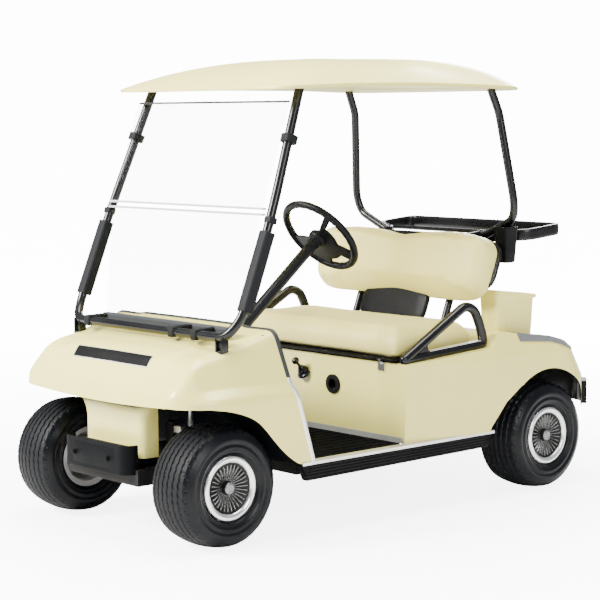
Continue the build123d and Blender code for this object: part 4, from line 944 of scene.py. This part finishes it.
def leaning(back, section, base):
    """Sections moved back by as much as the leg line leaves the cowl's top, and read there from the form."""
    share = np.clip((base - 127) / 300, 0, 1)[:, None]
    share = share * share * (3 - 2 * share)
    columns = np.arange(section.shape[1])[None, :]
    place = np.broadcast_to(base[:, None], (len(base), section.shape[1]))
    for _ in range(12):
        row = np.clip(np.interp(place, back, np.arange(len(back))), 0, len(back) - 1.001)
        low_row = row.astype(int)
        part = (row - low_row)[..., None]
        flat = section[low_row, columns] * (1 - part) + section[low_row + 1, columns] * part
        lean = np.interp(flat[..., 1], *LEG_LINE[:, ::-1].T) - COWL_BACK
        place = 0.5 * place + 0.5 * (base[:, None] + share * lean)
    return np.stack([flat[..., 0], place + COWL_FRONT, flat[..., 1]], -1)


edging_metal = moulded("edging_metal", (0.80, 0.80, 0.79), (0.28, 0.4), 0.0, (400, 0.00008),
                       metallic=0.9, dust_top=0.5, dust_share=0.2)
edging_rubber = moulded("edging_rubber", (0.020, 0.022, 0.024), (0.4, 0.55), 0.0, (500, 0.0002),
                        dust_share=0.05, specular=0.3)
plate_black = moulded("plate_black", (0.002, 0.002, 0.002), (0.2, 0.3), 0.2, (500, 0.00003), specular=0.3)
cowl_back, cowl_sections = cowl_form()
form_row = np.arange(FORM_ROWS)
last_row = np.interp(COWL_BACK - COWL_FRONT, cowl_back, form_row)
cowl_rows = np.interp(np.linspace(0, 1, COWL_ROWS) * last_row, form_row, cowl_back)
cowl_outer = softened(leaning(cowl_back, cowl_sections, cowl_rows), 6)
cowl_normal = grid_normals(cowl_outer)
cowl_normal *= np.sign(cowl_normal[COWL_ROWS // 2, cowl_normal.shape[1] // 2, 2])
cowl_skin = sheet(cowl_outer, cowl_outer - COWL_WALL * cowl_normal)

PILLAR_SIDE, PILLAR_FRONT, PILLAR_BACK, PILLAR_CORNER = 184, -1035, -962, 30
PILLAR_FLARE, FLARE_LOW, FLARE_HIGH = 62, 410, 514
bend = np.linspace(0, math.pi / 2, 14)
plan_half = np.concatenate([
    [(0, PILLAR_FRONT), (60, PILLAR_FRONT), (120, PILLAR_FRONT)],
    np.stack([PILLAR_SIDE - PILLAR_CORNER + PILLAR_CORNER * np.sin(bend),
              PILLAR_FRONT + PILLAR_CORNER - PILLAR_CORNER * np.cos(bend)], -1),
    [(PILLAR_SIDE, -985), (PILLAR_SIDE, PILLAR_BACK)]])
plan = np.concatenate([plan_half[::-1] * (-1, 1), plan_half[1:]])
plan_along = np.gradient(plan, axis=0)
plan_out = np.stack([plan_along[:, 1], -plan_along[:, 0]], -1)
plan_out /= np.linalg.norm(plan_out, axis=1, keepdims=True)
flare_rise = FLARE_HIGH - FLARE_LOW
pillar_level = np.concatenate([
    np.linspace(300, FLARE_LOW, 12), FLARE_LOW + flare_rise * np.sin(np.linspace(0.06, math.pi / 2, 30))])[:, None]
flared = ((pillar_level - FLARE_LOW) / flare_rise).clip(0)
flare = PILLAR_FLARE * (1 - np.sqrt(np.clip(1 - flared ** 2, 0, 1)))
front_share = np.clip((PILLAR_BACK - plan[:, 1]) / 90, 0, 1) ** 0.7
pillar_outer = np.concatenate([
    plan + plan_out * (flare * front_share)[..., None],
    np.broadcast_to(pillar_level[..., None], (len(pillar_level), len(plan), 1))], -1)
pillar_normal = grid_normals(pillar_outer)
pillar_normal *= -np.sign(pillar_normal[4, len(plan) // 2, 1])
pillar_skin = sheet(pillar_outer, pillar_outer - COWL_WALL * pillar_normal)
make_piece("cowl_moulded", [cowl_skin, pillar_skin], arch_ivory, ["cowl"])

# The edging: a rounded strip astride the cowl's back edge, bright metal below the crease and rubber above it.
EDGING_SPLIT, EDGING_REACH = 588, 576
edge_line = cowl_outer[-1] - 0.5 * COWL_WALL * cowl_normal[-1]
edge_back = cowl_outer[-1] - cowl_outer[-4]
edge_back /= np.linalg.norm(edge_back, axis=1, keepdims=True)
edging = flat_bar(9, 5.5, 5)
strip = edge_line[:, None] + edging[:, :1] * edge_back[:, None] + edging[:, 1:] * cowl_normal[-1][:, None]
strip[..., 0] = np.clip(strip[..., 0], -EDGING_REACH, EDGING_REACH)
split = int(np.argmax(edge_line[:, 2] > EDGING_SPLIT))
last = len(edge_line)
for name, run, material, slot, stands_for in (
        ("edging_left", strip[:split + 1], edging_metal, "bright_metal", ()),
        ("edging_top", strip[split:last - split], edging_rubber, "rubber_black", ["cowl_trim"]),
        ("edging_right", strip[last - split - 1:], edging_metal, "bright_metal", ())):
    make_piece(name, [as_grid(capped(run))], material, stands_for, sharp=60)


def plate_on_nose(half, low_y, high_y, rise):
    """A thin plate bent to the nose: surface points from low_y to high_y, half to each side, raised up and forwards."""
    middle_y = cowl_outer[:, cowl_outer.shape[1] // 2, 1]
    rows = cowl_outer[(middle_y > low_y) & (middle_y < high_y)][:, ::-1]
    across = half * np.linspace(-1, 1, 60)
    on_top = np.stack([np.stack([across] + [np.interp(across, row[:, 0], row[:, part]) for part in (1, 2)], -1)
                       for row in rows])
    lift = np.array((0, -0.75, 0.66))
    return sheet(on_top + rise * lift, on_top - 1.5 * lift)


for name, plate_size, material, slot, stands_for in (
        ("name_plate_border", (235, -1049, -1014, 1.4), edging_metal, "bright_metal", ()),
        ("name_plate", (231, -1046.5, -1017, 2.6), plate_black, "black_plastic", ["badge_plate"])):
    make_piece(name, [plate_on_nose(*plate_size)], material, stands_for, sharp=40)

# ---------------------------------------------------------------------------
# Toe board: a pressed dark panel that closes the cowl's inside from the floor
# up to under the dash, where its narrowed top edge is screwed to the cowl.
# ---------------------------------------------------------------------------
TOE_LINE = np.array([  # along the cart, up, half width
    (-866, 660, 456), (-866, 610, 486), (-857, 575, 500), (-839, 512, 516), (-829, 492, 520), (-734, 424, 535),
    (-662, 329, 548), (-600, 276, 557)])[:, None]
across = np.linspace(-1, 1, 41)[None, :, None]
pressing = 3 * np.clip(1 - (across / 0.86) ** 16, 0, 1)
toe_outer = np.concatenate([TOE_LINE[..., 2:] * across, TOE_LINE[..., :2] - pressing], -1)
make_piece("toe_board_pressed", [sheet(toe_outer, toe_outer + (0, 4, 4))], mat_black,
           ["toe_board"], sharp=40)

# ---------------------------------------------------------------------------
# Windshield: one bent black tube round the opening, foam sleeves and clamps on
# its legs, and pale hinge strips that hold two clear panes.
# ---------------------------------------------------------------------------


def bent(points, cuts, counts=6):
    """A path in space through rounded corners, each cut back by its own length."""
    sides = (counts,) * (len(points) - 1)
    return rounded_lines(np.array([points], float), np.array([cuts], float), 12, sides)[0]


def tube(path, section, turn_axis=(0, 1, 0)):
    """A closed grid of a section swept along a path, with drawn-in ends. A number stands for a round bar's radius."""
    section = round_bar(section) if np.isscalar(section) else section
    return as_grid(capped(swept(path, section, turn_axis)))


def both_sides(grid):
    """A grid and its mirror image on the cart's other side."""
    points, faces = grid
    return [(points, faces), (points * (-1, 1, 1), faces[:, ::-1])]


ROOF_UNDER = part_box("roof_liner")[0][2] * 1000
gloss_black = moulded("gloss_black", (0.0025, 0.0028, 0.0034), (0.22, 0.32), 0.1, (500, 0.00004), specular=0.28)
foam_black = moulded("foam_black", (0.006, 0.0068, 0.008), (0.55, 0.7), 0.0, (900, 0.0005), specular=0.15)
pale_strip = moulded("pale_strip", (0.50, 0.52, 0.52), (0.25, 0.35), 0.2, (500, 0.00004), specular=0.4)
rail_grey = moulded("rail_grey", (0.035, 0.038, 0.042), (0.3, 0.4), 0.1, (500, 0.00006), specular=0.3)

SHIELD_RADIUS = 17.5
shield_half = [(447, -487, ROOF_UNDER - 2), (497, -679, 1165), (501, -822, 824), (462, -866, 757), (0, -866, 756)]
shield_path = bent(shield_half + [(-x, y, z) for x, y, z in reversed(shield_half[:-1])],
                   (240, 60, 42, 0.1, 42, 60, 240), 14)
shield_grids = [tube(shield_path, SHIELD_RADIUS)]
for low, high, edge in (((424, -884, 702), (432, -850, 762), 2), ((456, -884, 702), (464, -850, 762), 2),
                        ((424, -888, 700), (464, -846, 712), 3)):
    shield_grids += both_sides(block_grid(low, high, edge))
make_piece("shield_tube", shield_grids, gloss_black, ["windshield_frame"])

sleeve_grids = []
for start, finish, count, section in (((501, -806, 850), (497.5, -692, 1133), 12, flat_bar(24, 24, 8)),
                                      ((497, -679, 1166), (496.2, -672, 1186), 12, flat_bar(19, 19, 8)),
                                      ((469.4, -563.5, 1455), (466.6, -552.6, 1483), 6, flat_bar(24, 27, 8))):
    sleeve_grids += both_sides(tube(np.linspace(start, finish, count), section))
for x in (-372, 165, 300):
    sleeve_grids.append(block_grid((x - 18, -889, 738), (x + 18, -844, 779), 5))
    sleeve_grids.append(block_grid((x - 15, -850, 764), (x + 15, -782, 780), 4))
make_piece("shield_sleeves", sleeve_grids, foam_black, ["shield_fittings"])


def across_panes(half, y, z, section):
    """A straight bar from side to side."""
    return tube(np.linspace((-half, y, z), (half, y, z), 8), section)


make_piece("shield_hinge_strip", [across_panes(474, y, z, flat_bar(4, 8)) for y, z in ((-689, 1196), (-684, 1217))],
           pale_strip, ["pane_strips"])
make_piece("shield_rails", [
    across_panes(half, y, z, flat_bar(*size)) for half, y, z, size in (
        (392, -776, 776, (6, 15)), (392, -792, 764, (16, 4)), (392, -776, 756, (3, 10)), (459, -546, 1606, (4, 2)))],
    rail_grey)

# ---------------------------------------------------------------------------
# Canopy: a vacuum-formed shell of ivory plastic, lens-shaped, with a thin edge
# that arches along the sides, and a pan of the same plastic bonded under it.
# ---------------------------------------------------------------------------
roof_low, roof_high = (np.array(corner) * 1000 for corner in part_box("roof"))
roof_low[1] -= 33
roof_middle, roof_half = (roof_low + roof_high) / 2, (roof_high - roof_low) / 2

CORNER_POWER, CANOPY_STEPS = 11, 480
EDGE_ARCH, EDGE_THICK = 16, 3
ring_plan = squared_circle(CANOPY_STEPS, CORNER_POWER)
rear_share = np.clip(ring_plan[:, 1], 0, 1) ** 4
edge_level = roof_low[2] + 8 + EDGE_ARCH * (1 - ring_plan[:, 1] ** 2) * (np.abs(ring_plan[:, 0]) > 0.5)
edge_level = np.roll(softened(np.concatenate([edge_level, edge_level]), 90)[240:720], 240)
roof_rows = []
for share in (0.0, 0.3, 0.6, 0.80, 0.87, 0.90, 0.93, 0.96, 0.985, 0.997):
    fall = np.clip((share - 0.86) / 0.07, 0, 1)
    roof_rows.append((share, ROOF_UNDER + (edge_level - 4 - ROOF_UNDER) * fall * fall * (3 - 2 * fall)))
roof_rows += [(1.0, edge_level), (1.0, edge_level + EDGE_THICK), (0.995, edge_level + 6 + EDGE_THICK)]
for share in np.sin(np.linspace(math.pi / 2 * 0.95, 0, 60)):
    crown = (1 - np.abs(share / 0.997) ** (2.5 + 2.2 * rear_share))
    roof_rows.append((share, edge_level + 7 + (roof_high[2] - edge_level - 7) * crown))
roof_points = np.stack([np.concatenate([roof_middle[:2] + ring_plan * roof_half[:2] * share, level[:, None]], -1)
                        for share, level in roof_rows])
make_piece("canopy", [as_grid(roof_points)], body_ivory, ["roof", "roof_liner"], sharp=35)

# ---------------------------------------------------------------------------
# Rear struts and bag rack: bent black tube from the rack up to the canopy, a
# deep rounded band round the bags, and a box hung from it.
# ---------------------------------------------------------------------------
RACK_LEVEL, RACK_LEAN = 1034, math.radians(5)
strut_path = bent([(266, 690, RACK_LEVEL), (455, 684, 1120), (473, 670, 1190), (430, 622, 1560),
                   (424, 578, ROOF_UNDER - 2)], (45, 60, 30), 10)
make_piece("struts_bent", both_sides(tube(strut_path, 17)), gloss_black, ["rear_struts"])


def rack_rise(points):
    """Leans the rack up to the rear by five degrees about the line where it meets the struts."""
    lifted = points.copy()
    lifted[..., 2] += (points[..., 1] - 600) * math.tan(RACK_LEAN)
    return lifted


rack_half = [(266, 615, RACK_LEVEL), (266, 690, RACK_LEVEL), (444, 790, RACK_LEVEL), (444, 992, RACK_LEVEL)]
rack_line = bent(rack_half + [(-x, y, z) for x, y, z in reversed(rack_half)], (30, 50, 45, 45, 50, 30), 10)
rack_bar = np.linspace((-440, 800, RACK_LEVEL), (440, 800, RACK_LEVEL), 8)
make_piece("rack_band", [
    tube(rack_rise(rack_line), flat_bar(10, 24, 8), (0, 0, 1)), tube(rack_rise(rack_bar), 9, (0, 0, 1))],
    gloss_black, ["bag_rack"])

BOX_ROWS = [  # level, half width, half depth
    (941, 26, 24), (943, 30, 28), (950, 32, 30), (1010, 36, 34), (1078, 41, 38), (1086, 43, 40), (1090, 43, 40),
    (1090, 40, 37), (1040, 36, 33), (950, 29, 27),
]
outline = flat_bar(1, 1, 10)
box_points = capped(np.stack([np.concatenate([(430, 666) + outline * (wide, deep), 0 * outline[:, :1] + level], -1)
                              for level, wide, deep in BOX_ROWS]))
make_piece("caddy_box_moulded", [as_grid(box_points), block_grid((280, 654, 1000), (400, 678, 1022), 3)],
           black_plastic, ["caddy_box"])

# ---------------------------------------------------------------------------
# Hip restraints: a closed loop of black tube beside each end of the seat, its
# front corner filled by a moulded web, and a painted highlight along its lower bar: a thin bright strip on top.
# ---------------------------------------------------------------------------
HIP_X = 527
hip_loop = [(-30, 603), (431, 629), (409, 700), (372, 775), (318, 793)]
hip_corners = [(HIP_X, y, z) for y, z in hip_loop]
hip_start = tuple(np.mean([hip_corners[0], hip_corners[1]], 0))
hip_path = bent([hip_start] + hip_corners[1:] + [hip_corners[0], hip_start], (36, 34, 30, 34, 16), 12)
web_near, web_low, web_high = (np.array(p, float) for p in ((-20, 605), (110, 612), (95, 672)))
web_line = np.linspace(0, 1, 12)[:, None]
web_edges = web_near + (web_low - web_near) * web_line, web_near + (web_high - web_near) * web_line
web = capped(np.stack([np.concatenate([0 * web_line + HIP_X + shift, web_edges[edge]], -1)
                       for edge, shift in ((0, -7), (1, -7), (1, 7), (0, 7))], 1))
hip_grids = both_sides(tube(hip_path, 19.5, (1, 0, 0))) + [as_grid(web), as_grid(web * (-1, 1, 1))]
make_piece("hip_loops", hip_grids, gloss_black, ["hip_restraints"])
# Painted highlight: a thin bright strip on top of each lower bar, where the light catches the black tube.
highlight_bar = np.linspace((HIP_X, 112, 630), (HIP_X, 408, 646), 12)
make_piece("hip_painted_highlight", both_sides(tube(highlight_bar, flat_bar(3, 9), (1, 0, 0))), edging_metal)

# ---------------------------------------------------------------------------
# Bumper: an extruded rubber buffer, smooth in the middle with ribs above and
# below, bent round the nose's member and held by two bolts with washers.
# ---------------------------------------------------------------------------
BUMPER_FACE_Y, BUMPER_BACK_Y = -1140, -1085
BUMPER_LOW, BUMPER_HIGH = 250, 360
BUMPER_BEND, RIB_PITCH, RIB_DEPTH = 46, 13, 5.0
BOLTS_X, BOLT_LEVEL = (-117, 92), 302
bumper_rubber = moulded("bumper_rubber", (0.0012, 0.0015, 0.002), (0.45, 0.6), 0.0, (500, 0.0003),
                        dust_top=0.4, specular=0.06)
level = np.linspace(0, BUMPER_HIGH - BUMPER_LOW, 120)
in_band = np.clip((np.abs(level - 50) - 20) / 2, 0, 1)
ribs = np.tanh(3 * np.cos(2 * math.pi * level / RIB_PITCH)) * 0.5 + 0.5
edge = np.clip(np.minimum(level, level[-1] - level) / 7, 0, 1)
bumper_out = (8 + in_band * RIB_DEPTH * ribs) * np.sqrt(1 - (1 - edge) ** 2) + 0.01
bumper_section = np.concatenate([np.stack([bumper_out, level], -1), [(0, level[-1]), (0, 0)]])
bend = np.linspace(0, math.pi / 2, 16)
bumper_line = BUMPER_FACE_Y + 13.5
half_path = np.concatenate([
    [(x, bumper_line, BUMPER_LOW) for x in (0, 80, 150)],
    np.stack([158 + BUMPER_BEND * np.sin(bend), bumper_line + BUMPER_BEND * (1 - np.cos(bend)),
              0 * bend + BUMPER_LOW], -1), [(158 + BUMPER_BEND, BUMPER_BACK_Y + 14, BUMPER_LOW)]])
bumper_path = np.concatenate([half_path[::-1], half_path[1:] * (-1, 1, 1)])


def stud(place, direction, radius, height):
    """A domed bolt head on its washer: a profile turned about its own axis, set at a place along a direction."""
    direction = np.asarray(direction, float) / np.linalg.norm(direction)
    first = np.cross(direction, (0.3, 0.5, 0.8))
    first /= np.linalg.norm(first)
    second = np.cross(direction, first)
    profile = np.array([(0, -2), (1.5, -2), (1.5, 0.12), (1.35, 0.25), (1.0, 0.3), (0.96, 0.8), (0.7, 0.97), (0, 1.0)])
    turn = np.linspace(0, 2 * math.pi, 24, endpoint=False)[:, None, None]
    out, along = radius * profile[None, :, :1], np.where(profile[:, 1:] < 0, 2, height) * profile[None, :, 1:]
    points = np.asarray(place) + out * (np.cos(turn) * first + np.sin(turn) * second) + along * direction
    return as_grid(points, True, False)


make_piece("bumper_moulded", [
    as_grid(capped(swept(bumper_path, bumper_section))),
    block_grid((-180, BUMPER_FACE_Y + 12, 262), (180, BUMPER_BACK_Y, 348), 6),
    block_grid((-172, BUMPER_BACK_Y - 4, 236), (172, -905, 298), 6),
    *[stud((x, BUMPER_FACE_Y + 5.5, BOLT_LEVEL), (0, -1, 0), 7, 5) for x in BOLTS_X]],
    bumper_rubber, ["front_bumper"], sharp=40)

# ---------------------------------------------------------------------------
# Direction selector: a steel stem in a rubber boot on the seat base's front
# face, with a moulded ball for a grip. One profile turned along a straight line.
# ---------------------------------------------------------------------------
stem_share = np.concatenate([np.linspace(0, 0.70, 36), np.linspace(0.71, 1.0, 24)])
stem_line = np.array((-38, -37, 503)) + stem_share[:, None] * np.array((0, -60, 63))
boot_radius = np.interp(stem_share, (0, 0.04, 0.08, 0.30, 0.44, 0.5, 0.7), (33, 33, 27, 17, 10, 6, 6))
boot_radius += 1.2 * np.cos(2 * math.pi * stem_share / 0.07) * np.clip((0.42 - stem_share) / 0.05, 0, 1)
ball_radius = 16 * np.sqrt(np.clip(1 - ((stem_share - 0.845) / 0.156) ** 2, 0, 1))
stem_section = np.maximum(boot_radius * (stem_share < 0.72), ball_radius)[:, None, None] * round_bar(1, 32)
make_piece("selector_lever", [as_grid(capped(swept(stem_line, stem_section, (1, 0, 0))))], gloss_black,
           ["selector"])

# ---------------------------------------------------------------------------
# Sills: a ribbed rubber kick strip over each side rail, with a bright
# aluminium angle along its top.
# ---------------------------------------------------------------------------
SILL_FRONT, SILL_BACK = -598, 444
SILL_REACH, STRIP_HEIGHT = 569, 52


def ribbed_section(height, depth, ribs, rise, count=96):
    """A closed section whose outer side is ribbed: depth plus rise times a squared-off sine of the height."""
    level = np.linspace(0, height, count)
    wave = np.tanh(4 * np.sin(2 * math.pi * ribs * level / height - math.pi / 2)) * 0.5 + 0.5
    edge = np.minimum(1, np.minimum(level, height - level) / 6)
    out = (depth - rise + rise * wave) * np.sqrt(np.clip(1 - (1 - edge) ** 2, 0, 1)) + 0.01
    return np.concatenate([np.stack([out, level], -1), [(0, height), (0, 0)]])


section = ribbed_section(STRIP_HEIGHT, 5, 5, 2.2)
along = np.linspace(SILL_FRONT, SILL_BACK, 40)[:, None]
low = np.interp(along, (SILL_FRONT, -572, 403, SILL_BACK), (256, 213, 220, 262))
high = np.interp(along, (SILL_FRONT, -590, 440, SILL_BACK), (270, 272, 272, 270))
level = low + (high - low) * section[:, 1] / STRIP_HEIGHT
strip = capped(np.stack([SILL_REACH + section[:, 0] + 0 * level, along + 0 * level, level], -1))
angle_section = np.array([(543, 280), (543, 283), (575, 283), (577, 281), (577, 270), (574, 270), (574, 279)], float)
angle = capped(np.stack([np.insert(angle_section, 1, y, axis=1) for y in (SILL_FRONT + 2, SILL_BACK - 2)]))
for side, hand in ((1, "left"), (-1, "right")):
    make_piece(f"kick_strip_{hand}", [as_grid(strip * (side, 1, 1))], bumper_rubber, sharp=40)
    make_piece(f"sill_angle_{hand}", [as_grid(angle * (side, 1, 1))], bright_metal, sharp=25)

# ---------------------------------------------------------------------------
# Bin: the cream tub on the left of the deck, moulded in one with a rolled rim
# and a moulded groove down its side; it lifts out.
# ---------------------------------------------------------------------------
BIN_X, BIN_Y, BIN_FLOOR = (390, 510), (536, 766), 674
BIN_ROWS = [  # share of the height, how far out from the outline
    (0.0, -9), (0.3, -6), (0.6, -4), (0.86, -2), (0.90, 0), (0.905, 5), (0.915, 7.5), (0.95, 8.5), (0.985, 8), (1.0, 5),
    (1.0, 0), (0.985, -4), (0.92, -6), (0.6, -8), (0.3, -10), (0.05, -13),
]
bin_middle = np.array((sum(BIN_X) / 2, sum(BIN_Y) / 2))
bin_half = np.array((BIN_X[1] - BIN_X[0], BIN_Y[1] - BIN_Y[0])) / 2


def narrowed(ring, share):
    """A ring of the bin drawn in to a share of its size."""
    return np.concatenate([bin_middle + (ring[:, :2] - bin_middle) * share, ring[:, 2:]], -1)


outline = squared_circle(160, 7)
rings = []
for share, grow in BIN_ROWS:
    ring = bin_middle + outline * (bin_half + grow)
    dent = 3.0 * np.exp(-((ring[:, 1] - 600) / 7) ** 2) * (np.abs(outline[:, 0]) > 0.9) * (share < 0.88)
    ring[:, 0] -= np.sign(outline[:, 0]) * dent
    base = np.interp(ring[:, 1], (535, 640, 768), (668, 655, 637))
    rim = np.interp(ring[:, 1], BIN_Y, (838, 810))
    rings.append(np.concatenate([ring, (base + (rim - base) * share)[:, None]], -1))
floor_ring = rings[-1].copy()
floor_ring[:, 2] = BIN_FLOOR
rings[-1][:, 2] = np.maximum(rings[-1][:, 2], BIN_FLOOR + 6)
bin_points = np.stack([narrowed(rings[0], 0.02)] + rings + [narrowed(floor_ring, 0.9), narrowed(floor_ring, 0)])
make_piece("bin_moulded", [as_grid(bin_points)], body_ivory, ["tub"], sharp=40, outward=False)

low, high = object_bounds()
